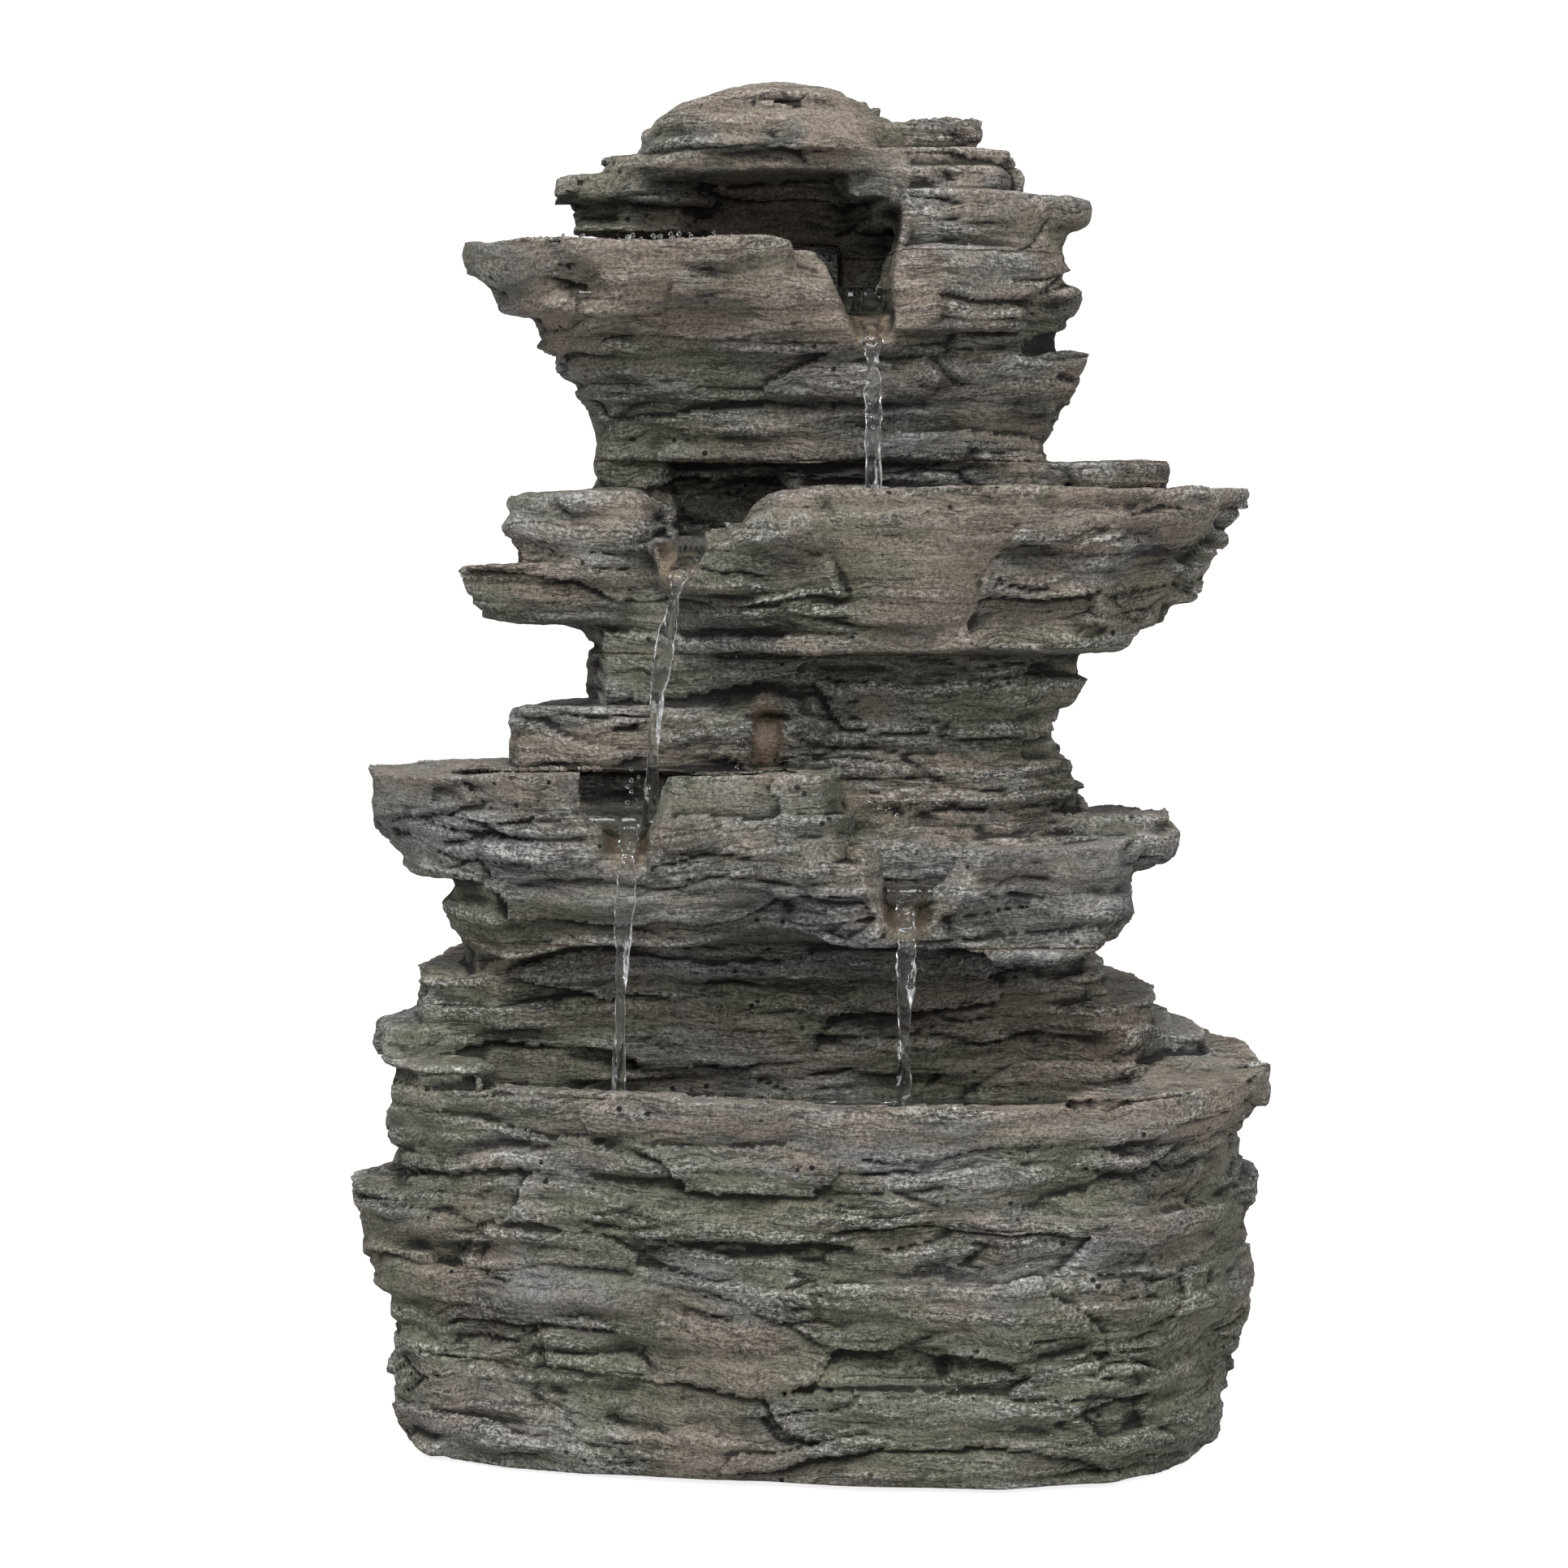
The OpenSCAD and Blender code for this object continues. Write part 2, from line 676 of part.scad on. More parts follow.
// Turns the water forward and out through the back wall of the upper tray.
module outlet_elbow() {
    nozzle_front = cave_back - 1;
    color(pump_black)
        translate([tube_x, tube_y, outlet_z])
            difference() {
                union() {
                    sphere(d = nozzle_d);
                    rotate([90, 0, 0])
                        cylinder(d = nozzle_d, h = tube_y - nozzle_front);
                    translate([0, 0, -nozzle_d / 2 - 4])
                        cylinder(d = nozzle_d, h = nozzle_d / 2 + 4);
                    translate([0, 0, -nozzle_d / 2 - 4 - barb_l])
                        cylinder(d = barb_d, h = barb_l + 1);
                }
                sphere(d = barb_bore);
                rotate([90, 0, 0])
                    cylinder(d = barb_bore, h = tube_y);
                translate([0, 0, -60])
                    cylinder(d = barb_bore, h = 60);
            }
}

// ---------------------------------------------------------------- pump

rotor_gap = 0.6;
well_r = rotor_d / 2 + rotor_gap;
well_l = motor_l - 8;
impeller_d = 16;
blade_l = 5;
chamber_r = impeller_d / 2 + 1;
bush_l = 2.5;
bush_d = 4.5;
pin_front = volute_front + pump_wall + 0.2;
pin_back = motor_front + well_l - 0.5;

// A box with its four long edges rounded, lying along Y from y = 0.
module moulding(w, l, h, r) {
    rotate([-90, 0, 0])
        linear_extrude(height = l)
            for_rounded(w, h, r);
}

module for_rounded(w, h, r) {
    union() {
        translate([-w / 2 + r, -h])
            square([w - 2 * r, h]);
        translate([-w / 2, -h + r])
            square([w, h - 2 * r]);
        for (x = [-w / 2 + r, w / 2 - r])
            for (y = [-h + r, -r])
                translate([x, y])
                    circle(r = r);
    }
}

module along_axis(y) {
    translate([tube_x, y, axis_z])
        rotate([-90, 0, 0])
            children();
}

module motor_housing() {
    color(pump_black)
        difference() {
            union() {
                difference() {
                    translate([tube_x, motor_front, pump_z])
                        moulding(pump_w, motor_l, pump_h, 4);
                    translate([tube_x, motor_front + pump_wall, pump_z + pump_wall])
                        moulding(pump_w - 2 * pump_wall, motor_l, pump_h - 2 * pump_wall, 2.5);
                }
                along_axis(motor_front + 0.5)
                    cylinder(r = well_r + pump_wall / 2, h = well_l + pump_wall - 0.5);
            }
            along_axis(motor_front - eps)
                cylinder(r = well_r, h = well_l);
            each_cup()
                translate([0, 0, -eps])
                    cylinder(d = cup_stem_d + 0.1, h = pump_wall + 2 * eps);
        }
}

module back_plate() {
    translate([tube_x, motor_back, pump_z])
        moulding(pump_w, back_plate_t, pump_h, 4);
}

// Laminated core, which grips the rotor's well from both sides.
module stator_core() {
    leg_w = 5;
    leg_gap = 0.4;
    leg_x = well_r + pump_wall / 2 + leg_gap;
    core_l = well_l - 4;
    core_low = pump_z + pump_wall + 1;
    core_high = pump_top - pump_wall - 0.6;
    color([0.45, 0.46, 0.48])
        translate([tube_x, motor_front + 4, 0])
            union() {
                for (side = [-1, 1])
                    translate([side * (leg_x + leg_w / 2) - leg_w / 2, 0, core_low])
                        cube([leg_w, core_l, core_high - core_low]);
                translate([-leg_x - 1, 0, core_high - bridge_t])
                    cube([2 * leg_x + 2, core_l, bridge_t]);
            }
}

bridge_t = 3;

// Winding round the core's bridge.
module stator_coil() {
    coil_w = 2 * (well_r + pump_wall / 2) - 0.6;
    slot = 0.3;
    low = axis_z + well_r + pump_wall / 2 + 0.4;
    high = pump_top - pump_wall - 0.2;
    color([0.72, 0.42, 0.2])
        translate([tube_x - coil_w / 2, motor_front + 2.4, low])
            difference() {
                cube([coil_w, well_l - 0.8, high - low]);
                translate([-eps, 1.6 - slot, pump_top - pump_wall - 0.6 - bridge_t - slot - low])
                    cube([coil_w + 2 * eps, well_l - 4 + 2 * slot, bridge_t + 2 * slot]);
            }
}

// Magnet and blades, one moulding that turns on the ceramic shaft.
module impeller() {
    magnet_l = well_l - 3.5;
    hub_d = 6;
    color("white")
        difference() {
            union() {
                along_axis(motor_front - 1)
                    cylinder(d = rotor_d, h = magnet_l + 1.5);
                along_axis(motor_front - blade_l)
                    cylinder(d = hub_d, h = blade_l + 1);
                along_axis(motor_front - 1.8)
                    cylinder(d = impeller_d, h = 1.2);
                for (a = [0 : 60 : 300])
                    translate([tube_x, motor_front - 1, axis_z])
                        rotate([0, a, 0])
                            translate([-0.6, 1 - blade_l, 0])
                                cube([1.2, blade_l - 1, impeller_d / 2 - 0.1]);
            }
            along_axis(motor_front - blade_l - 1)
                cylinder(d = pin_d + 2 * run_gap, h = motor_l);
        }
}

module impeller_shaft() {
    color("ivory")
        along_axis(pin_front)
            cylinder(d = pin_d, h = pin_back - pin_front);
}

module shaft_bushes() {
    color(rubber_black)
        for (y = [pin_front, pin_back - bush_l])
            along_axis(y)
                pipe(bush_d, pin_d + 0.02, bush_l);
}

// Closes the impeller's chamber and carries the outlet.
module volute_cover() {
    inlet_r = 4.6;
    color(pump_black)
        difference() {
            union() {
                translate([tube_x, volute_front, pump_z])
                    moulding(pump_w, volute_l, pump_h, 4);
                translate([tube_x, tube_y, pump_top - 1])
                    cylinder(d = barb_d, h = barb_l + 1);
                translate([tube_x, tube_y, pump_top + collar_lift])
                    cylinder(d = tube_od, h = tube_low - fit_gap - pump_top - collar_lift);
            }
            along_axis(volute_front + pump_wall)
                cylinder(r = chamber_r, h = volute_l);
            along_axis(volute_front - eps)
                pipe(2 * inlet_r, bush_d + 1.6, pump_wall + 2 * eps);
            along_axis(volute_front + pump_wall - 0.8)
                cylinder(d = bush_d + 0.1, h = volute_l);
            translate([tube_x, tube_y, axis_z])
                cylinder(d = barb_bore, h = pump_h + barb_l);
        }
    color(pump_black)
        for (a = [0, 120, 240])
            translate([tube_x, volute_front, axis_z])
                rotate([0, a, 0])
                    translate([-0.6, 0, bush_d / 2 + 0.4])
                        cube([1.2, pump_wall, inlet_r - bush_d / 2]);
}

// Slotted cover that pulls off forward for cleaning.
strainer_wall = 1.4;
dial_x = -8;
dial_d = 13;
dial_t = 1.6;
dial_boss_d = 4;
dial_z = pump_z + pump_h - 10;

module strainer_cover() {
    slot_w = 1.6;
    slot_h = pump_h - 8;
    color(pump_black)
        difference() {
            union() {
                translate([tube_x, strainer_front, pump_z])
                    moulding(pump_w, strainer_l - 0.2, pump_h, 4);
                translate([tube_x + dial_x, strainer_front + eps, dial_z])
                    rotate([90, 0, 0])
                        cylinder(d = dial_boss_d, h = dial_t + 0.6);
            }
            translate([tube_x, strainer_front + strainer_wall, pump_z + strainer_wall])
                moulding(pump_w - 2 * strainer_wall, strainer_l, pump_h - 2 * strainer_wall, 3);
            for (i = [0 : 4])
                translate([tube_x + 1.5 + 3 * i, strainer_front - 1, pump_z + 4])
                    cube([slot_w, strainer_wall + 2, slot_h]);
            for (a = [0, 90])
                translate([tube_x + dial_x, strainer_front, dial_z])
                    rotate([0, a + 45, 0])
                        translate([-1.1, -1, 3])
                            cube([2.2, strainer_wall + 2, 2.6]);
        }
}

// Turns over the strainer's two round ways to set the flow.
module flow_dial() {
    color([0.3, 0.3, 0.32])
        translate([tube_x + dial_x, strainer_front - fit_gap / 2, dial_z])
            rotate([90, 0, 0])
                difference() {
                    union() {
                        cylinder(d = dial_d, h = dial_t);
                        translate([-0.8, 2.6, 0])
                            cube([1.6, 3.6, dial_t + 1.6]);
                    }
                    translate([0, 0, -1])
                        cylinder(d = dial_boss_d + 2 * run_gap, h = dial_t + 4);
                    rotate([0, 0, 135])
                        translate([-1.1, 3, -1])
                            cube([2.2, 2.6, dial_t + 2]);
                    rotate([0, 0, -135])
                        translate([-1.1, 3, -1])
                            cube([2.2, 2.6, dial_t + 2]);
                }
}

cup_stem_d = 4;

module each_cup() {
    for (x = [-1, 1])
        for (y = [motor_front + 6.5, motor_back - 6.5])
            translate([tube_x + x * (pump_w / 2 - 7), y, pump_z])
                children();
}

module suction_cups() {
    color([0.2, 0.2, 0.2])
        each_cup()
            rotate_extrude()
                polygon([
                    [0, pump_wall + 0.6], [cup_stem_d / 2, pump_wall], [cup_stem_d / 2, -1],
                    [cup_d / 2, -cup_h + 0.6], [cup_d / 2, -cup_h], [cup_d / 2 - 0.8, -cup_h],
                    [cup_stem_d / 2, -2.4], [0, -2.4]
                ]);
}

// ---------------------------------------------------------------- power

inlet_x = shaft_x + door_w / 2 + 26;
inlet_z = 112 * kz;
inlet_face = 90 * ky;                // flat that the inlet's flange sits on
inlet_wall = 6;
flange_d = inlet_d + 5;
flange_t = 2.5;
barrel_l = inlet_wall + 7;
nut_af = inlet_d + 4;
nut_t = 3;

module at_inlet(y) {
    translate([inlet_x, y, inlet_z])
        rotate([-90, 0, 0])
            children();
}

module inlet_hole() {
    at_inlet(chamber_back - 2)
        cylinder(d = inlet_d + 2 * fit_gap, h = 30 * ky);
    at_inlet(inlet_face)
        cylinder(d = flange_d + 3, h = 20 * ky);
    at_inlet(chamber_back - 2)
        cylinder(d = nut_af * 1.6, h = inlet_face - inlet_wall - chamber_back + 2);
}

module power_inlet() {
    socket_d = 5.6;
    socket_deep = 9;
    color(pump_black)
        difference() {
            union() {
                at_inlet(inlet_face)
                    cylinder(d = flange_d, h = flange_t);
                at_inlet(inlet_face - barrel_l)
                    cylinder(d = inlet_d, h = barrel_l + 1);
            }
            at_inlet(inlet_face + flange_t - socket_deep)
                pipe(socket_d, 2.1, socket_deep + 1);
        }
}

module inlet_nut() {
    color("silver")
        at_inlet(inlet_face - inlet_wall - nut_t)
            difference() {
                cylinder(d = nut_af / cos(30), h = nut_t, $fn = 6);
                translate([0, 0, -1])
                    cylinder(d = inlet_d + 2 * run_gap, h = nut_t + 2);
            }
}

gland_l = 7;
gland_x = 8;
gland_z = pump_z + pump_h / 2 + 4;

module pump_gland() {
    color(rubber_black) {
        back_plate();
        translate([tube_x + gland_x, motor_back + back_plate_t - eps, gland_z])
            rotate([-90, 0, 0])
                cylinder(d1 = lead_d + 4, d2 = lead_d + 1.6, h = gland_l);
    }
}

// The lead runs inside the basin, from the pump's gland up to the inlet.
lead_start = [tube_x + gland_x, motor_back + back_plate_t + gland_l, gland_z];
lead_end = [inlet_x, inlet_face - barrel_l, inlet_z];
lead_route = [
    lead_start,
    lead_start + [0, 2, 0],
    lead_start + [5, 4.2, 4],
    lead_start + [14, 3, 14],
    [inlet_x - 6, lead_end.y - 12, inlet_z - 46],
    [inlet_x + 1, lead_end.y - 17, inlet_z - 24],
    [inlet_x + 1, lead_end.y - 14, inlet_z - 9],
    [inlet_x, lead_end.y - 6, inlet_z - 0.5],
    lead_end
];

// Catmull-Rom points along a route, steps to each stretch.
function ghost(route, i) =
    i < 0 ? 2 * route[0] - route[1]
    : i >= len(route) ? 2 * route[len(route) - 1] - route[len(route) - 2]
    : route[i];
function between(a, b, c, d, t) =
    0.5 * (2 * b + (c - a) * t + (2 * a - 5 * b + 4 * c - d) * t * t
    + (3 * b - a - 3 * c + d) * t * t * t);
function smooth(route, steps) = [
    for (i = [0 : len(route) - 2])
        for (s = [0 : steps - 1])
            between(ghost(route, i - 1), route[i], route[i + 1], ghost(route, i + 2), s / steps),
    route[len(route) - 1]
];
function unit(v) = v / norm(v);
function heading(line, i) =
    i == 0 || i == len(line) - 1 ? [0, 1, 0] : unit(line[i + 1] - line[i - 1]);

module cord(route, d, steps, sides) {
    line = smooth(route, steps);
    last = len(line) - 1;
    across = [0.93, -0.3, -0.2];
    rings = [
        for (i = [0 : last])
            let (
                t = heading(line, i),
                u = unit(cross(t, across)),
                v = cross(t, u)
            )
            for (k = [0 : sides - 1])
                line[i] + d / 2 * (u * cos(360 * k / sides) + v * sin(360 * k / sides))
    ];
    faces = concat(
        [[for (k = [0 : sides - 1]) k]],
        [[for (k = [sides - 1 : -1 : 0]) last * sides + k]],
        [
            for (i = [0 : last - 1])
                for (k = [0 : sides - 1])
                    [
                        i * sides + k, (i + 1) * sides + k,
                        (i + 1) * sides + (k + 1) % sides, i * sides + (k + 1) % sides
                    ]
        ]
    );
    polyhedron(points = rings, faces = faces, convexity = 6);
}

module pump_lead() {
    color(rubber_black)
        cord(lead_route, lead_d, 5, 8);
}

// ---------------------------------------------------------------- assembly

basin();
lower_tier();
middle_tier();
upper_tier();
cap_rock();
access_door();
door_magnets();
frame_magnets();
foot_pads();
power_inlet();
inlet_nut();
pump_lead();
motor_housing();
stator_core();
stator_coil();
impeller();
impeller_shaft();
shaft_bushes();
volute_cover();
strainer_cover();
flow_dial();
suction_cups();
pump_gland();
riser_tube();
tube_clips();
outlet_elbow();
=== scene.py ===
import math

import bmesh
import bpy
import numpy as np
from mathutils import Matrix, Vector


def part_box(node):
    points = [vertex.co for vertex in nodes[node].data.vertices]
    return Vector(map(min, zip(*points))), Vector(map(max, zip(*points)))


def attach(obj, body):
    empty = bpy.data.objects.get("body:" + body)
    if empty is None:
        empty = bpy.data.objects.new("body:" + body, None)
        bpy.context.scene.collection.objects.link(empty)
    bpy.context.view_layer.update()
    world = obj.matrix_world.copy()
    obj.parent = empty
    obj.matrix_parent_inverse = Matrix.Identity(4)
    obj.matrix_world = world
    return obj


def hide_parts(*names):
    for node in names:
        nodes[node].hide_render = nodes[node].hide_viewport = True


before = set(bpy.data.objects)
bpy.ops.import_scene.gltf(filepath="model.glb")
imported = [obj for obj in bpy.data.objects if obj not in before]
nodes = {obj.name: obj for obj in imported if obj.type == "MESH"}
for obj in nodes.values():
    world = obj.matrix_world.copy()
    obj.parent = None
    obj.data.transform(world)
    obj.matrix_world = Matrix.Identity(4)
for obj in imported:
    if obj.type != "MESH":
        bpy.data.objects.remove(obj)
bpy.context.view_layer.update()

scene = bpy.context.scene
mm = 0.001
print("frame loaded:", len(nodes), "nodes")

cameraSettings = {
    "lens": 104.9,
    "place": (-0.0058, -1.35, 0.278),
    "tiltDown": 3.65,
}


def makeCamera(c):
    data = bpy.data.cameras.new("camera")
    data.lens = c["lens"]
    data.clip_start, data.clip_end = 0.05, 20
    camera = bpy.data.objects.new("camera", data)
    camera.location = c["place"]
    camera.rotation_euler = (math.radians(90 - c["tiltDown"]), 0, 0)
    scene.collection.objects.link(camera)
    scene.camera = camera


makeCamera(cameraSettings)


# A node's socket that Python arithmetic can be written with.
class Val:
    def __init__(self, tree, socket):
        self.tree = tree
        self.socket = socket

    def math(self, operation, *inputs):
        node = self.tree.nodes.new("ShaderNodeMath")
        node.operation = operation
        for i, value in enumerate(inputs):
            if isinstance(value, Val):
                self.tree.links.new(value.socket, node.inputs[i])
            else:
                node.inputs[i].default_value = value
        return Val(self.tree, node.outputs[0])

    def __add__(self, other):
        return self.math("ADD", self, other)

    def __radd__(self, other):
        return self.math("ADD", other, self)

    def __sub__(self, other):
        return self.math("SUBTRACT", self, other)

    def __rsub__(self, other):
        return self.math("SUBTRACT", other, self)

    def __mul__(self, other):
        return self.math("MULTIPLY", self, other)

    def __rmul__(self, other):
        return self.math("MULTIPLY", other, self)

    def __abs__(self):
        return self.math("ABSOLUTE", self)

    def high(self, other):
        return self.math("MAXIMUM", self, other)


# A node tree and the means to add to it.
class Paint:
    def __init__(self, tree):
        self.tree = tree

    def node(self, kind, settings=None, out=0, **sockets):
        made = self.tree.nodes.new(kind)
        for key, value in (settings or {}).items():
            setattr(made, key, value)
        for key, value in sockets.items():
            place = int(key[1:]) if key[1:].isdigit() else key.replace("_", " ")
            self.feed(made.inputs[place], value)
        return Val(self.tree, made.outputs[out])

    def feed(self, target, value):
        if isinstance(value, Val):
            self.tree.links.new(value.socket, target)
        elif isinstance(value, tuple) and len(value) == 3 and target.type == "RGBA":
            target.default_value = (*value, 1)
        else:
            target.default_value = value

    def stretch(self, vector, amounts):
        return self.node("ShaderNodeVectorMath", {"operation": "MULTIPLY"}, i0=vector, i1=amounts)

    def shift(self, vector, amounts):
        return self.node("ShaderNodeVectorMath", {"operation": "ADD"}, i0=vector, i1=amounts)

    def lift(self, vector, height):
        return self.shift(vector, self.node("ShaderNodeCombineXYZ", i2=height))

    def noise(self, vector, scale, detail=3, rough=0.55):
        return self.node("ShaderNodeTexNoise", Vector=vector, Scale=scale, Detail=detail, Roughness=rough)

    def cells(self, vector, scale):
        return self.node("ShaderNodeTexVoronoi", Vector=vector, Scale=scale)

    # 0 below low, 1 above high, smooth between. High may be the smaller one.
    def ramp(self, value, low, high):
        return self.node("ShaderNodeMapRange", {"interpolation_type": "SMOOTHSTEP"}, Value=value,
                         From_Min=low, From_Max=high)

    def mix(self, factor, a, b, blend="MIX"):
        return self.node("ShaderNodeMix", {"data_type": "RGBA", "blend_type": blend}, out=2,
                         i0=factor, i6=a, i7=b)

    def bump(self, height, distance, strength=1.0):
        return self.node("ShaderNodeBump", Height=height, Distance=distance, Strength=strength)


# A material's own paint, with its shader and the object's coordinates at hand.
class Finish(Paint):
    def __init__(self, name):
        self.material = bpy.data.materials.new(name)
        self.material.use_nodes = True
        super().__init__(self.material.node_tree)
        self.shader = self.tree.nodes["Principled BSDF"]
        self.where = self.node("ShaderNodeTexCoord", out="Object")

    def set(self, **sockets):
        for key, value in sockets.items():
            self.feed(self.shader.inputs[key.replace("_", " ")], value)
        return self.material


gradientSides = np.array([
    [1, 1, 0], [-1, 1, 0], [1, -1, 0], [-1, -1, 0], [1, 0, 1], [-1, 0, 1], [1, 0, -1], [-1, 0, -1],
    [0, 1, 1], [0, -1, 1], [0, 1, -1], [0, -1, -1], [1, 1, 0], [-1, 1, 0], [0, -1, 1], [0, -1, -1],
], np.float32)


def scramble(ix, iy, iz, seed):
    h = (ix.astype(np.uint32) * np.uint32(374761393) + iy.astype(np.uint32) * np.uint32(668265263)
         + iz.astype(np.uint32) * np.uint32(2147483647) + np.uint32(seed * 144665 + 1013))
    h = (h ^ (h >> np.uint32(13))) * np.uint32(1274126177)
    h = (h ^ (h >> np.uint32(16))) * np.uint32(2246822519)
    return h ^ (h >> np.uint32(15))


def chance(h, part=0):
    return ((h >> np.uint32(part * 10)) & np.uint32(1023)).astype(np.float32) / 1023


# Smooth noise over points, from about -1 to 1.
def gradientNoise(p, seed):
    base = np.floor(p)
    f = (p - base).astype(np.float32)
    base = base.astype(np.int64)
    fade = f * f * f * (f * (f * 6 - 15) + 10)
    total = np.zeros(len(p), np.float32)
    for dx in (0, 1):
        wx = fade[:, 0] if dx else 1 - fade[:, 0]
        for dy in (0, 1):
            wy = fade[:, 1] if dy else 1 - fade[:, 1]
            for dz in (0, 1):
                wz = fade[:, 2] if dz else 1 - fade[:, 2]
                h = scramble(base[:, 0] + dx, base[:, 1] + dy, base[:, 2] + dz, seed)
                g = gradientSides[h & np.uint32(15)]
                dot = g[:, 0] * (f[:, 0] - dx) + g[:, 1] * (f[:, 1] - dy) + g[:, 2] * (f[:, 2] - dz)
                total += wx * wy * wz * dot
    return total


def fractal(p, seed, octaves=3, gain=0.5):
    total = np.zeros(len(p), np.float32)
    size, reach = 1.0, 0.0
    for i in range(octaves):
        total += size * gradientNoise(p * 2.03 ** i, seed + 31 * i)
        reach += size
        size *= gain
    return total / reach


# Cells of broken rock: how far each stands out, and how near its edge is.
def flakes(p, seed):
    base = np.floor(p).astype(np.int64)
    near = np.full(len(p), 9.0, np.float32)
    second = np.full(len(p), 9.0, np.float32)
    level = np.zeros(len(p), np.float32)
    for dx in (-1, 0, 1):
        for dy in (-1, 0, 1):
            for dz in (-1, 0, 1):
                ix, iy, iz = base[:, 0] + dx, base[:, 1] + dy, base[:, 2] + dz
                h = scramble(ix, iy, iz, seed)
                ox = ix + 0.15 + 0.7 * chance(h, 0) - p[:, 0]
                oy = iy + 0.15 + 0.7 * chance(h, 1) - p[:, 1]
                oz = iz + 0.15 + 0.7 * chance(h, 2) - p[:, 2]
                d = np.sqrt(ox * ox + oy * oy + oz * oz).astype(np.float32)
                own = chance(scramble(ix, iy, iz, seed + 7), 0)
                closer = d < near
                second = np.where(closer, near, np.minimum(second, d))
                level = np.where(closer, own, level)
                near = np.where(closer, d, near)
    return level, second - near


def smoothStep(x, low, high):
    t = np.clip((x - low) / (high - low), 0, 1)
    return t * t * (3 - 2 * t)


# How far each point is outside a box, in the points' own unit.
def boxDistance(p, low, high):
    out = np.maximum(np.maximum(np.array(low) - p, p - np.array(high)), 0)
    return np.sqrt((out * out).sum(1))


rockSettings = {
    "voxel": 1.1 * mm,
    "roundOff": 40,        # passes of smoothing that turn the ledges into rock
    "soften": 4,           # passes that take the edge off everything
    "bendTall": 8.0,       # mm that the layers rise and fall, over long and short stretches
    "bendShort": 1.5,
    "bendWide": 3.4,       # mm that the faces wander sideways
    "lump": 5.4,           # mm that the bands swell and draw in
    "slab": 4.0,           # mm between the faces of broken rock, large to small
    "flake": 1.9,
    "fineFlake": 0.7,
    "crack": 1.6,
    "grain": 0.5,
}

# Width, depth and height of one cell of each pattern, in mm. Flat cells lie as layers.
cellSizes = {
    "longBend": [95, 95, 60],
    "shortBend": [26, 26, 15],
    "wander": [44, 44, 22],
    "waver": [23, 23, 9],
    "waverTall": [15, 15, 7],
    "slab": [72, 72, 14],
    "flake": [40, 40, 5.6],
    "fineFlake": [17, 17, 2.7],
    "grain": [13, 13, 1.9],
    "band": [58, 58, 12],
    "broken": [34, 34, 20],
    "rim": [30, 30, 12],
    "lump": [40, 40, 15],
}

# Hollows that hold other pieces, or carry water inside, keep their CAD shape. In mm: low
# corner, high corner.
keptHollows = [
    ((-104, -12, 6), (102, 80, 124)),       # pump room
    ((-36, 16, 100), (44, 72, 372)),        # tube's shaft
    ((-30, 80, 99), (38, 104, 147)),        # door's seat
    ((49, 76, 101), (71, 104, 123)),        # power inlet
    ((-36, -24, 6), (44, -6, 50)),          # water passage
    ((-100, -72, -1), (102, 80, 3.4)),      # foot pads
    ((-3, 5, 334), (11, 20, 346)),          # outlet
]

# Rims and corners that stay crisp.
crispPlaces = [
    ((-104, -60, 341), (4, 14, 356)),
    ((-72, -60, 330), (-60, -50, 356)),
    ((0, -66, 272), (134, 10, 282)),
    ((-130, -66, 190), (14, 0, 202)),
    ((-84, -70, 168), (-34, -46, 202)),
    ((44, -68, 171), (98, -20, 180)),
    ((-2, -70, 146), (56, -46, 196)),
    ((-130, -102, 99), (138, -24, 111)),
    ((30, -42, 374), (50, 20, 388)),
]

# Rims, the ledge beside the cave and the cave's wall: smoother and warmer than the rest.
rimFaces = [
    ((-104, -62, 322), (16, 0, 356)),
    ((-40, -66, 263), (128, -20, 284)),
    ((-130, -68, 188), (14, 0, 204)),
    ((8, -68, 168), (92, -40, 182)),
    ((-130, -104, 99), (138, -24, 112)),
    ((46, -40, 352), (88, 0, 368)),
    ((-62, -30, 353), (30, 12, 373)),
]

# Where water runs the rock is worn smooth: centre, radii in mm.
wornPlaces = [
    ((19, -34, 327), (6, 24, 9)),
    ((-36, -34, 258), (7, 24, 9)),
    ((-50, -56, 178), (6, 12, 7)),
    ((29, -56, 157), (6, 12, 8)),
    ((-11, -14, 207), (5, 14, 13)),
]

# Painted shade: the channels through the lower rims are painted a dark warm brown.
shadedSlotPlaces = [
    ((-57, -58, 176), (-45, -36, 198)),
    ((23, -56, 152), (36, -36, 177)),
]

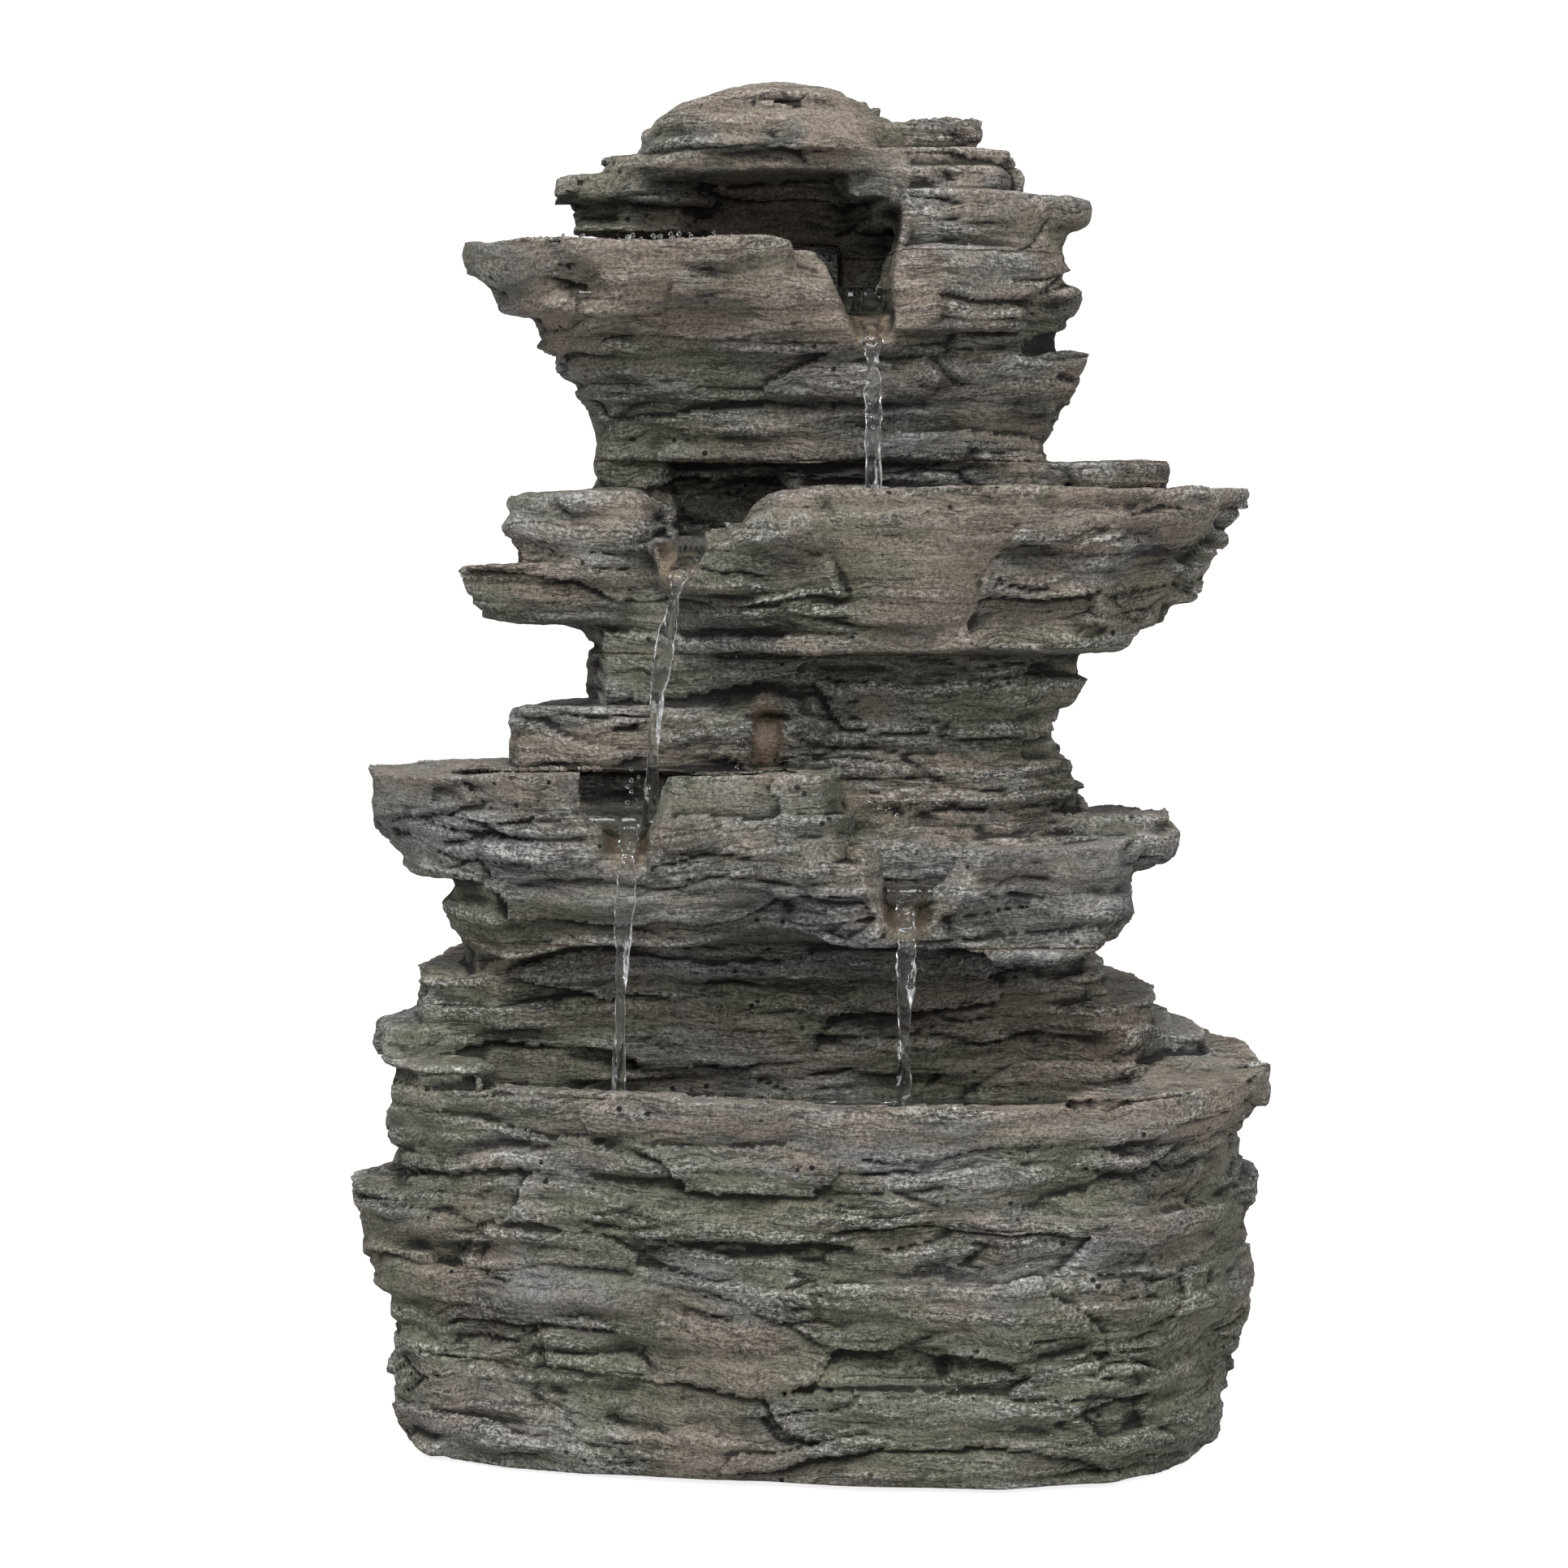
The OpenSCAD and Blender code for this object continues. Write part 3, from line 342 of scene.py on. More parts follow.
# Pulls on the rock, as with a sculpting brush: centre, radius and move, in mm.
pulls = [
    ((7, -48, 353), 16, (-3, 2, -10)),       # upper rim rounds down into the spout
    ((4, -24, 350), 16, (-2, 0, -9)),
    ((27, -46, 350), 10, (4, 2, 0)),
    ((-68, -55, 334), 14, (3, 6, 2)),
    ((-98, -8, 340), 14, (-1, 0, 3)),
    ((-30, -50, 328), 26, (0, 5, 3)),        # trays' undersides curve in
    ((-28, -50, 280), 20, (5, 3, -10)),      # middle rim rounds off at its left end
    ((-22, -34, 278), 16, (4, 0, -10)),
    ((-20, -18, 275), 14, (3, 0, -10)),
    ((-11, -8, 206), 13, (0, -7, 0)),
    ((-36, -48, 262), 10, (3, 2, -3)),
    ((0, -60, 246), 24, (0, 7, 3)),
    ((60, -60, 246), 28, (0, 8, 3)),
    ((104, -46, 250), 22, (-4, 6, 3)),
    ((118, -20, 262), 18, (-2, 3, 2)),
    ((-100, -12, 250), 12, (-2, 0, -2)),
    ((-110, -20, 172), 14, (4, 3, -2)),
    ((60, -60, 160), 20, (0, 5, 2)),
    ((-88, -46, 150), 26, (0, 4, -5)),       # lower trays' underside wanders
    ((-12, -56, 149), 24, (0, 4, 6)),
    ((66, -54, 150), 22, (0, 3, -5)),
    ((-44, -6, 388), 12, (-3, 0, -4)),
    ((-6, -22, 393), 26, (0, 0, 2)),
]

# Notches that carry water through the trays' rims. The two lower ones open out towards the
# front, and the third is the upper tray's spout. Each end has its y and heights, then the
# sides' x at the bottom and at the top. All in mm.
notches = [
    (((-45, 182, 206), (-54.5, -46), (-58.5, -43)), ((-65, 171, 206), (-57.5, -45.5), (-82, -32))),
    (((-46, 162.5, 198), (25, 33), (21, 37)), ((-65, 146, 198), (24, 34.5), (-2, 71))),
    (((-10, 334, 360), (12, 25), (3, 27)), ((-62, 315, 360), (15, 24), (3, 29))),
]


def linkedMesh(name, mesh):
    piece = bpy.data.objects.new(name, mesh)
    scene.collection.objects.link(piece)
    return piece


def shadeSmooth(mesh):
    mesh.polygons.foreach_set("use_smooth", np.ones(len(mesh.polygons), bool))


def meshFromNode(name, node):
    b = bmesh.new()
    b.from_mesh(nodes[node].data)
    bmesh.ops.remove_doubles(b, verts=b.verts, dist=1e-6)
    mesh = bpy.data.meshes.new(name)
    b.to_mesh(mesh)
    b.free()
    return linkedMesh(name, mesh)


# Leaves the piece with the mesh that its modifiers make.
def applied(piece):
    graph = bpy.context.evaluated_depsgraph_get()
    shaped = bpy.data.meshes.new_from_object(piece.evaluated_get(graph))
    old = piece.data
    piece.modifiers.clear()
    piece.data = shaped
    bpy.data.meshes.remove(old)


def combine(piece, other, operation):
    step = piece.modifiers.new("combine", "BOOLEAN")
    step.operation, step.solver, step.object = operation, "MANIFOLD", other
    applied(piece)
    bpy.data.objects.remove(other)


def remeshed(piece, voxel):
    step = piece.modifiers.new("remesh", "REMESH")
    step.mode, step.voxel_size = "VOXEL", voxel
    applied(piece)


def block(low, high):
    b = bmesh.new()
    bmesh.ops.create_cube(b, size=1)
    for v in b.verts:
        v.co = [(low[i] + high[i] + (high[i] - low[i]) * 2 * v.co[i]) / 2 * mm for i in range(3)]
    mesh = bpy.data.meshes.new("block")
    b.to_mesh(mesh)
    b.free()
    return linkedMesh("block", mesh)


def notchCut(ends):
    b = bmesh.new()
    for (y, low, high), bottom, top in ends:
        for x, z in ((bottom[0], low), (bottom[1], low), (top[1], high), (top[0], high)):
            b.verts.new((x * mm, y * mm, z * mm))
    bmesh.ops.convex_hull(b, input=b.verts)
    mesh = bpy.data.meshes.new("notch")
    b.to_mesh(mesh)
    b.free()
    return linkedMesh("notch", mesh)


def points(mesh, normals=False):
    data = np.zeros(len(mesh.vertices) * 3, np.float32)
    if normals:
        mesh.vertex_normals.foreach_get("vector", data)
    else:
        mesh.vertices.foreach_get("co", data)
    return data.reshape(-1, 3)


def putPoints(mesh, p):
    mesh.vertices.foreach_set("co", np.ascontiguousarray(p, np.float32).ravel())
    mesh.update()


def smoothing(piece, times, factor=0.5, weights=None):
    step = piece.modifiers.new("smooth", "SMOOTH")
    step.factor, step.iterations = factor, times
    if weights is not None:
        group = piece.vertex_groups.new(name="soft")
        levels = np.round(weights * 8).astype(int)
        for level in range(1, 9):
            group.add(np.nonzero(levels == level)[0].tolist(), level / 8, "REPLACE")
        step.vertex_group = "soft"
    applied(piece)
    piece.vertex_groups.clear()


# 1 where the rock may be reshaped, 0 at the hollows that hold other pieces.
def freedom(p):
    free = np.ones(len(p), np.float32)
    for low, high in keptHollows:
        free *= smoothStep(boxDistance(p, low, high), 0.6, 7)
    return free


def inBoxes(p, boxes, reach):
    mask = np.zeros(len(p), np.float32)
    for low, high in boxes:
        mask = np.maximum(mask, 1 - smoothStep(boxDistance(p, low, high), 0, reach))
    return mask


def worn(p):
    mask = np.zeros(len(p), np.float32)
    for centre, radii in wornPlaces:
        d = np.sqrt((((p - np.array(centre)) / np.array(radii)) ** 2).sum(1))
        mask = np.maximum(mask, 1 - smoothStep(d, 0.6, 1.25))
    return mask


# 1 on the faces of a notch and between them, 0 a few mm away.
def inNotches(p):
    mask = np.zeros(len(p), np.float32)
    for ((back, backLow, backHigh), *backSides), ((front, frontLow, frontHigh), *frontSides) in notches:
        t = np.clip((p[:, 1] - back) / (front - back), 0, 1)
        low = backLow + t * (frontLow - backLow)
        high = backHigh + t * (frontHigh - backHigh)
        up = np.clip((p[:, 2] - low) / (high - low), 0, 1)
        sides = []
        for i in (0, 1):
            foot, head = (a[i] + t * (b[i] - a[i]) for a, b in zip(backSides, frontSides))
            sides.append(foot + up * (head - foot))
        outside = np.maximum.reduce([
            sides[0] - p[:, 0], p[:, 0] - sides[1], low - p[:, 2], front - p[:, 1], p[:, 1] - back])
        mask = np.maximum(mask, 1 - smoothStep(outside, 1.2, 4.0))
    return mask


def pulled(p, free):
    for centre, radius, move in pulls:
        d = np.sqrt(((p - np.array(centre)) ** 2).sum(1)) / radius
        p = p + (free * (1 - smoothStep(d, 0.15, 1)))[:, None] * np.array(move)
    return p


# How far the layers are bent up or down at a point, in mm.
def layerBend(p):
    wide = fractal(p / cellSizes["longBend"] + 3.1, 11, 2)
    small = fractal(p / cellSizes["shortBend"] + 8.7, 12, 2)
    return rockSettings["bendTall"] * wide + rockSettings["bendShort"] * small


# All the castings' rock in one skin, so that it runs on from each to the next.
def joinCastings(names):
    rock = meshFromNode("rock", names[0])
    for name in names[1:]:
        combine(rock, meshFromNode(name + "Copy", name), "UNION")
    for ends in notches:
        combine(rock, notchCut(ends), "DIFFERENCE")
    remeshed(rock, rockSettings["voxel"])
    return rock


def bendRock(rock):
    c = rockSettings
    p = points(rock.data) / mm
    free = freedom(p)
    p = pulled(p, free)
    putPoints(rock.data, p * mm)
    crisp = np.maximum(inBoxes(p, crispPlaces, 6), inNotches(p))
    smoothing(rock, c["roundOff"], 0.6, free * (1 - 0.96 * crisp))
    smoothing(rock, c["soften"], 0.6, free)
    p = points(rock.data) / mm
    cut = inNotches(p)
    push = c["bendWide"] * np.stack([
        fractal(p / cellSizes["wander"] + 1.3, 21, 2),
        fractal(p / cellSizes["wander"] + 5.9, 22, 2),
        np.zeros(len(p))], 1)
    push[:, 2] = 0.5 * layerBend(p) * smoothStep(p[:, 2], 1.5, 12)
    putPoints(rock.data, (p + free[:, None] * push) * mm)
    return free, cut


# Flakes, cracks and grain stand out along the surface's normal.
def breakRock(rock, free, cut):
    c = rockSettings
    p = points(rock.data) / mm
    n = points(rock.data, normals=True)
    bend = layerBend(p)
    q = np.stack([p[:, 0], p[:, 1], p[:, 2] + bend], 1)
    q = q + np.stack([
        6 * gradientNoise(q / cellSizes["waver"], 41),
        6 * gradientNoise(q / cellSizes["waver"], 42),
        1.5 * gradientNoise(q / cellSizes["waverTall"], 43)], 1)
    slab, slabEdge = flakes(q / cellSizes["slab"], 51)
    flake, flakeEdge = flakes(q / cellSizes["flake"], 52)
    fine = flakes(q / cellSizes["fineFlake"] + 4.4, 53)[0]
    broken = smoothStep(fractal(p / cellSizes["broken"] + 2.2, 64, 2), -0.06, 0.2)
    crack = (1 - smoothStep(flakeEdge, 0.0, 0.16)) * broken
    slabCrack = (1 - smoothStep(slabEdge, 0.0, 0.08)) * smoothStep(broken, 0.2, 0.8)
    grain = fractal(q / cellSizes["grain"], 61, 2)
    band = fractal(q / cellSizes["band"] + 9.3, 67, 2)
    rough = fractal(p / 5.0, 62, 2)
    side = 1 - smoothStep(np.abs(n[:, 2]), 0.6, 0.97)

    wet = worn(p)
    rim = inBoxes(p, rimFaces, 5) * smoothStep(fractal(p / cellSizes["rim"] + 6.1, 66, 2), -0.28, 0.0)
    lump = smoothStep(fractal(p / cellSizes["lump"] + 7.7, 63, 2), 0.04, 0.24)
    smooth = np.maximum.reduce([rim, 0.85 * lump, 0.95 * cut])
    calm = (1 - 0.78 * smooth) * (1 - wet)
    large = (1 - 0.85 * cut) * (c["lump"] * band + c["slab"] * (slab - 0.5) - 0.5 * slabCrack)
    out = (1 - wet) * (1 - 0.45 * rim) * large + calm * (
        (0.35 + 0.65 * broken) * c["flake"] * (flake - 0.5) - c["crack"] * crack
        + c["fineFlake"] * (fine - 0.5) + c["grain"] * grain)
    top = 0.8 * rough * (1 - wet)
    move = free * (side * out + (1 - side) * top) * smoothStep(p[:, 2], 0.5, 4)
    p = p + n * move[:, None]
    p[:, 2] = np.maximum(p[:, 2], 0.9)
    putPoints(rock.data, p * mm)
    dark = np.maximum(crack * 0.8, slabCrack * 0.5) * side * (1 - 0.6 * np.maximum(rim, cut))
    return bend, dark, smooth, wet


# How far each point stands out of the rock around it, in mm.
def standOut(rock, passes):
    ghost = rock.copy()
    ghost.data = rock.data.copy()
    scene.collection.objects.link(ghost)
    smoothing(ghost, passes, 0.8)
    away = (points(rock.data) - points(ghost.data)) / mm
    bpy.data.objects.remove(ghost)
    return (away * points(rock.data, normals=True)).sum(1)


# Marks at each point that the rock's paint reads.
def markRock(rock, bend, crack, smooth, wet):
    n = points(rock.data, normals=True)
    rise = np.clip(0.5 + 0.55 * standOut(rock, 14), 0, 1)
    # Painted shade: higher where the rock lies back from the rock round it and where it faces down; the
    # paint darkens the rock there and adds some moss.
    recessShadeAndMoss = np.clip(0.5 - 0.16 * standOut(rock, 110) + 0.25 * np.clip(-n[:, 2], 0, 1), 0, 1)
    # Painted shade in the rims' channels, pushed past 1 so that the paint turns them dark brown.
    recessShadeAndMoss = recessShadeAndMoss + inBoxes(points(rock.data) / mm, shadedSlotPlaces, 3)
    marks = rock.data.attributes.new("rockMarks", "FLOAT_COLOR", "POINT")
    rgba = np.stack([rise, crack, smooth, wet], 1)
    marks.data.foreach_set("color", rgba.astype(np.float32).ravel())
    for name, values in (("layerBend", bend * mm), ("recessShadeAndMoss", recessShadeAndMoss)):
        layer = rock.data.attributes.new(name, "FLOAT", "POINT")
        layer.data.foreach_set("value", values.astype(np.float32))


# The upper tray's rim stands up in front of the cap, between these heights. All in mm.
capFoot, rimTop = 347, 353
rimEnd, rimBack = 14, 10.7                 # its right end in x, and its back in y
upperRim = ((-120, -80, capFoot), (rimEnd, rimBack, rimTop))
pastX, pastY, pastRim = 200, 150, 360      # outside all the rock, and above the rim

# The joints between the castings: the piece, its node, its lowest and highest point in mm.
castings = [
    ("basinRock", "basin", -9, 148),
    ("lowerTierRock", "lower_tier", 148, 231),
    ("middleTierRock", "middle_tier", 231, 287),
    ("upperTierRock", "upper_tier", 287, rimTop),
    ("capRock", "cap_rock", capFoot, 420),
]


def splitRock(rock):
    made = []
    for name, node, low, high in castings:
        piece = rock.copy()
        piece.data = rock.data.copy()
        piece.name = piece.data.name = name
        scene.collection.objects.link(piece)
        combine(piece, block((-pastX, -pastY, low), (pastX, pastY, high)), "INTERSECT")
        if name == "upperTierRock":
            combine(piece, block((rimEnd, -pastY, capFoot), (pastX, pastY, pastRim)), "DIFFERENCE")
            combine(piece, block((-pastX, rimBack, capFoot), (rimEnd + 6, pastY, pastRim)), "DIFFERENCE")
        if name == "capRock":
            combine(piece, block(*upperRim), "DIFFERENCE")
        shadeSmooth(piece.data)
        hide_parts(node)
        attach(piece, "fountain")
        made.append(piece)
        print(name, "shaped:", len(piece.data.polygons), "faces")
    bpy.data.objects.remove(rock)
    return made


wholeRock = joinCastings([node for name, node, low, high in castings])
rockFree, rockCut = bendRock(wholeRock)
rockMarks = breakRock(wholeRock, rockFree, rockCut)
markRock(wholeRock, *rockMarks)
rockPieces = splitRock(wholeRock)

doorSettings = {
    "voxel": 0.7 * mm,
    "outerFace": 93.2,     # mm, the part of the plate behind this is rock
    "flake": 1.3,
    "grain": 0.4,
}


# The door in the back wears the same rock as the basin round it.
def makeDoor(c):
    door = meshFromNode("doorRock", "access_door")
    remeshed(door, c["voxel"])
    p = points(door.data) / mm
    low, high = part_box("access_door")
    edge = np.minimum.reduce([
        p[:, 0] - low[0] / mm, high[0] / mm - p[:, 0], p[:, 2] - low[2] / mm, high[2] / mm - p[:, 2]])
    outside = smoothStep(p[:, 1], c["outerFace"], c["outerFace"] + 1.2)
    bend = layerBend(p)
    q = np.stack([p[:, 0], p[:, 1], p[:, 2] + bend], 1)
    level, near = flakes(q / cellSizes["flake"], 52)
    crack = (1 - smoothStep(near, 0.0, 0.16)) * outside
    out = c["flake"] * (level - 0.7) - 0.9 * crack + c["grain"] * fractal(q / cellSizes["grain"], 61, 2)
    p[:, 1] += outside * smoothStep(edge, 0.2, 2.5) * out
    putPoints(door.data, p * mm)
    markRock(door, bend, crack, 0.3 * outside, 0 * outside)
    shadeSmooth(door.data)
    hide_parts("access_door")
    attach(door, "door")
    return door


rockPieces.append(makeDoor(doorSettings))
print("door shaped")

rockColours = {
    "stone": (0.166, 0.156, 0.139),
    "warm": (0.244, 0.200, 0.161),
    "rim": (0.220, 0.182, 0.147),
    "cool": (0.215, 0.218, 0.214),
    "dark": (0.012, 0.011, 0.010),
    "moss": (0.128, 0.132, 0.092),
    "dust": (0.520, 0.510, 0.490),
    "wetRock": (0.215, 0.160, 0.114),
    "slotShade": (0.052, 0.035, 0.023),
    "chip": (0.62, 0.60, 0.56),
    "gritDark": (0.42, 0.42, 0.42),
    "gritPale": (1.35, 1.35, 1.35),
}


def rockFinish(c):
    paint = Finish("castRock")
    marks = paint.node("ShaderNodeAttribute", {"attribute_name": "rockMarks"}, out="Color")
    run = paint.node("ShaderNodeAttribute", {"attribute_name": "rockMarks"}, out="Alpha")
    rise, crack, calm = (paint.node("ShaderNodeSeparateColor", i0=marks, out=i) for i in range(3))
    bend = paint.node("ShaderNodeAttribute", {"attribute_name": "layerBend"}, out="Fac")
    recessShadeAndMoss = paint.node("ShaderNodeAttribute", {"attribute_name": "recessShadeAndMoss"}, out="Fac")
    height = paint.node("ShaderNodeSeparateXYZ", i0=paint.where, out=2)
    at = paint.lift(paint.where, bend)
    at = paint.lift(at, (paint.noise(at, 60, 2) - 0.5) * 0.006)
    dry = 1 - run

    streak = paint.noise(paint.stretch(at, (36, 36, 420)), 1, 5, 0.64)
    fineStreak = paint.noise(paint.stretch(at, (95, 95, 1300)), 1, 4, 0.62)
    contour = paint.noise(paint.stretch(at, (24, 24, 190)), 1, 5, 0.60)
    patch = paint.noise(paint.stretch(at, (16, 16, 46)), 1, 4, 0.6)
    hue = paint.noise(paint.stretch(at, (12, 12, 34)), 1, 4, 0.6)
    damp = paint.noise(paint.stretch(at, (14, 14, 26)), 1, 4, 0.62)
    brushed = paint.noise(paint.stretch(at, (20, 20, 90)), 1, 4, 0.6)
    speckle = paint.noise(paint.stretch(at, (800, 800, 1100)), 1, 4, 0.72)
    grit = paint.noise(paint.where, 2400, 3, 0.7)

    # Broad colour: brown on the smooth faces, grey on the broken ones, green where it is damp.
    body = paint.mix(paint.ramp(patch, 0.44, 0.62) * 0.8, c["stone"], c["warm"])
    body = paint.mix(paint.ramp(hue, 0.46, 0.62) * 0.8 * (1 - 0.7 * calm), body, c["cool"])
    body = paint.mix(calm * paint.ramp(hue, 0.62, 0.44) * 0.8, body, c["rim"])
    low = paint.ramp(height, 0.13, 0.03) * 0.07
    body = paint.mix(paint.ramp(damp + low + recessShadeAndMoss * 0.12, 0.50, 0.72) * 0.78, body, c["moss"])
    body = paint.mix(run * 0.85, body, c["wetRock"])

    # Fine dark lines follow the layers, and come and go along their length.
    fade = paint.ramp(brushed, 0.40, 0.58)
    line = paint.ramp(abs(contour - 0.5), 0.030, 0.004) * fade
    line = line.high(paint.ramp(abs(streak - 0.47), 0.020, 0.003) * paint.ramp(brushed, 0.56, 0.42)
                     * (1 - 0.5 * calm))
    smear = paint.ramp(streak * 0.7 + speckle * 0.3, 0.47, 0.37) * (1 - 0.6 * calm)
    body = paint.mix(smear * 0.55 * dry, body, c["dark"])
    body = paint.mix(paint.ramp(fineStreak * 0.6 + speckle * 0.4, 0.45, 0.36) * 0.5 * dry, body, c["dark"])
    body = paint.mix(line * 0.6 * dry, body, c["dark"])

    # Pale paint dragged over what stands out, and the hollows and cracks made darker; then painted shade
    # where the rock lies back or faces down, and in the rims' channels.
    brush = paint.ramp(rise, 0.42, 0.74) * paint.ramp(speckle * 0.7 + fineStreak * 0.3, 0.46, 0.62)
    brush = brush * paint.ramp(brushed, 0.36, 0.56) * (1 - 0.5 * calm) * dry
    body = paint.mix(brush * 0.75, body, c["dust"])
    hollow = paint.ramp(rise, 0.46, 0.16).high(crack * 0.75 * dry)
    body = paint.mix(hollow * 0.9, body, c["dark"])
    # Painted shade: the rock is darkened where it lies back or faces down, less on wet and smooth faces.
    paintedRecessShade = paint.ramp(recessShadeAndMoss, 0.55, 1.1) * (1 - 0.8 * run) * (1 - 0.6 * calm)
    body = paint.mix(paintedRecessShade * 0.34, body, c["dark"])
    # Painted shade: the rims' channels turn dark brown.
    body = paint.mix(paint.ramp(recessShadeAndMoss, 1.1, 1.6) * 0.75, body, c["slotShade"])

    # Casting pits, pale chips and grit.
    scatter = paint.ramp(paint.noise(paint.where, 40, 2), 0.46, 0.60)
    pit = paint.ramp(paint.cells(paint.where, 150), 0.15, 0.08) * scatter
    smallPit = paint.ramp(paint.cells(paint.where, 340), 0.16, 0.08) * paint.ramp(patch, 0.45, 0.6)
    body = paint.mix(pit.high(smallPit * 0.8), body, c["dark"])
    chip = paint.ramp(paint.cells(paint.shift(paint.where, (0.31, 0.17, 0.05)), 230), 0.08, 0.04)
    body = paint.mix(chip * paint.ramp(hue, 0.48, 0.58) * 0.6, body, c["chip"])
    gritTone = paint.mix(paint.ramp(grit * 0.5 + speckle * 0.5, 0.40, 0.60), c["gritDark"], c["gritPale"])
    body = paint.mix(0.85, body, gritTone, "MULTIPLY")

    relief = streak * 0.9 * dry + fineStreak * 0.45 * dry + speckle * 0.3 - line * 0.35 - pit * 0.8
    paint.shader.inputs["Specular IOR Level"].default_value = 0.3
    return paint.set(Base_Color=body, Roughness=0.86 - 0.36 * run + (speckle - 0.5) * 0.2,
                     Normal=paint.bump(relief, 1.3 * mm, 0.9))


def dress(piece, material):
    piece.data.materials.clear()
    piece.data.materials.append(material)


castRock = rockFinish(rockColours)
for piece in rockPieces:
    dress(piece, castRock)
print("rock painted")

# Each fall starts at a spout and ends under a pool's surface. Points and widths in mm.
fallSettings = {
    "upperFall": {
        "route": [(18.6, -30, 328.2), (19, -40, 323.6), (19.3, -46, 320), (19.5, -48.6, 312),
                  (19.5, -49.3, 295), (19.5, -49.4, 262)],
        "width": (6.2, 4.0), "twists": 1.3},
    "middleFall": {
        "route": [(-32, -30, 260.4), (-34, -42, 257.6), (-35.2, -48, 255.5), (-37, -50, 248),
                  (-40, -50.4, 232), (-42.6, -50.2, 212), (-44, -49.4, 183)],
        "width": (7.2, 3.8), "twists": 1.2},
    "leftFall": {
        "route": [(-50, -50, 184.6), (-50, -56, 180.4), (-50, -60, 175.5), (-50.6, -61.4, 166),
                  (-52, -61.4, 138), (-53, -60.2, 98)],
        "width": (6.0, 3.8), "twists": 1.1},
    "rightFall": {
        "route": [(29, -51, 164.2), (29, -57, 158.6), (29, -61, 153.2), (28.8, -62.6, 145),
                  (28.3, -62.8, 124), (28, -62.4, 98)],
        "width": (6.4, 4.2), "twists": 1.0},
}


# A smooth curve through the route's points.
def along(route, count):
    knots = [Vector(p) for p in route]
    knots = [2 * knots[0] - knots[1]] + knots + [2 * knots[-1] - knots[-2]]
    line = []
    for i in range(count):
        u = i / (count - 1) * (len(knots) - 3)
        k = min(int(u), len(knots) - 4)
        t = u - k
        a, b, c, d = knots[k:k + 4]
        line.append(0.5 * (2 * b + (c - a) * t + (2 * a - 5 * b + 4 * c - d) * t * t
                           + (3 * b - a - 3 * c + d) * t * t * t))
    return line


rope = {
    "rings": 150,
    "sides": 20,
    "drawIn": 5,           # how soon it is narrow
    "depth": 0.42,         # over its width at the top, and what it gains further down
    "depthGain": 0.4,
    "swell": 0.14,         # slow swelling, and swells to each twist
    "swells": 2.7,
    "bead": 0.07,          # quick swelling, and beads in the whole fall
    "beads": 15,
    "oval": 0.28,          # how far its section is from round
    "ridge": 0.10,
}


# Falling water draws in and twists like a loose rope.
def makeFall(name, c, seed):
    rings, sides = rope["rings"], rope["sides"]
    line = along(c["route"], rings)
    wide, narrow = c["width"]
    spots, faces = [], []
    for i, centre in enumerate(line):
        t = i / (rings - 1)
        ahead = (line[min(i + 1, rings - 1)] - line[max(i - 1, 0)]).normalized()
        across = Vector((1, 0, 0))
        out = ahead.cross(across).normalized()
        across = out.cross(ahead)
        size = (narrow + (wide - narrow) * math.exp(-rope["drawIn"] * t)) / 2
        flat = rope["depth"] + rope["depthGain"] * min(1, 2 * t)
        swing = math.sin(2 * math.pi * c["twists"] * rope["swells"] * t + seed)
        size *= 1 + rope["swell"] * swing * min(1, 3 * t)
        size *= 1 + rope["bead"] * math.sin(2 * math.pi * rope["beads"] * t + 2 * seed)
        size *= min(1, 0.3 + 12 * t)
        turn = 2 * math.pi * c["twists"] * t + seed
        for k in range(sides):
            a = 2 * math.pi * k / sides
            r = size * (1 + rope["oval"] * math.cos(2 * (a - turn))
                        + rope["ridge"] * math.cos(3 * (a + 1.7 * turn)))
            spots.append((centre + across * r * math.cos(a) + out * r * flat * math.sin(a)) * mm)
    for i in range(rings - 1):
        for k in range(sides):
            l = (k + 1) % sides
            faces.append((i * sides + k, i * sides + l, (i + 1) * sides + l, (i + 1) * sides + k))
    faces.append(tuple(reversed(range(sides))))
    faces.append(tuple(range((rings - 1) * sides, rings * sides)))
    mesh = bpy.data.meshes.new(name)
    mesh.from_pydata(spots, [], faces)
    shadeSmooth(mesh)
    return linkedMesh(name, mesh)


# A pool fills its hollow's outline, from the floor up to the level. All in mm.
poolSettings = {
    "upperPool": {
        "outline": [(-86, -8), (-82, -20), (-64, -47), (-34, -48), (-5, -47), (4, -38), (8, -22),
                    (20, -30), (25, -8), (25, 7), (-46, 12), (-68, 6)],
        "floor": 330, "level": 337, "falls": [(4, 4)]},
    "middlePool": {
        "outline": [(-36, -30), (-20, -46), (-8, -52), (40, -55), (86, -51), (104, -35),
                    (108, -18), (60, -15), (30, -14), (-6, -12), (-8, 5), (-40, 5), (-40, -14)],
        "floor": 260, "level": 265.4, "falls": [(19.5, -49.4)]},
    "leftPool": {
        "outline": [(-106, -14), (-104, -29), (-91, -42), (-74, -51), (-40, -53), (-14, -52),
                    (0, -45), (2, -20), (-20, -18), (-70, -17), (-88, -6)],
        "floor": 181, "level": 186.2, "falls": [(-44, -49.4)]},
    "rightPool": {
        "outline": [(14, -43), (23, -52), (42, -54), (68, -52), (84, -43), (88, -22), (64, -25),
                    (30, -27), (10, -24)],
        "floor": 161, "level": 165.8, "falls": [(20, -40)]},
    "basinPool": {
        "outline": [(-90, -45), (-71, -58), (-35, -72), (10, -84), (54, -89), (79, -79), (96, -51),
                    (101, -18), (40, -18), (-40, -18), (-92, -18)],
        "floor": 94, "level": 101, "falls": [(-53, -60.2), (28, -62.4)]},
}
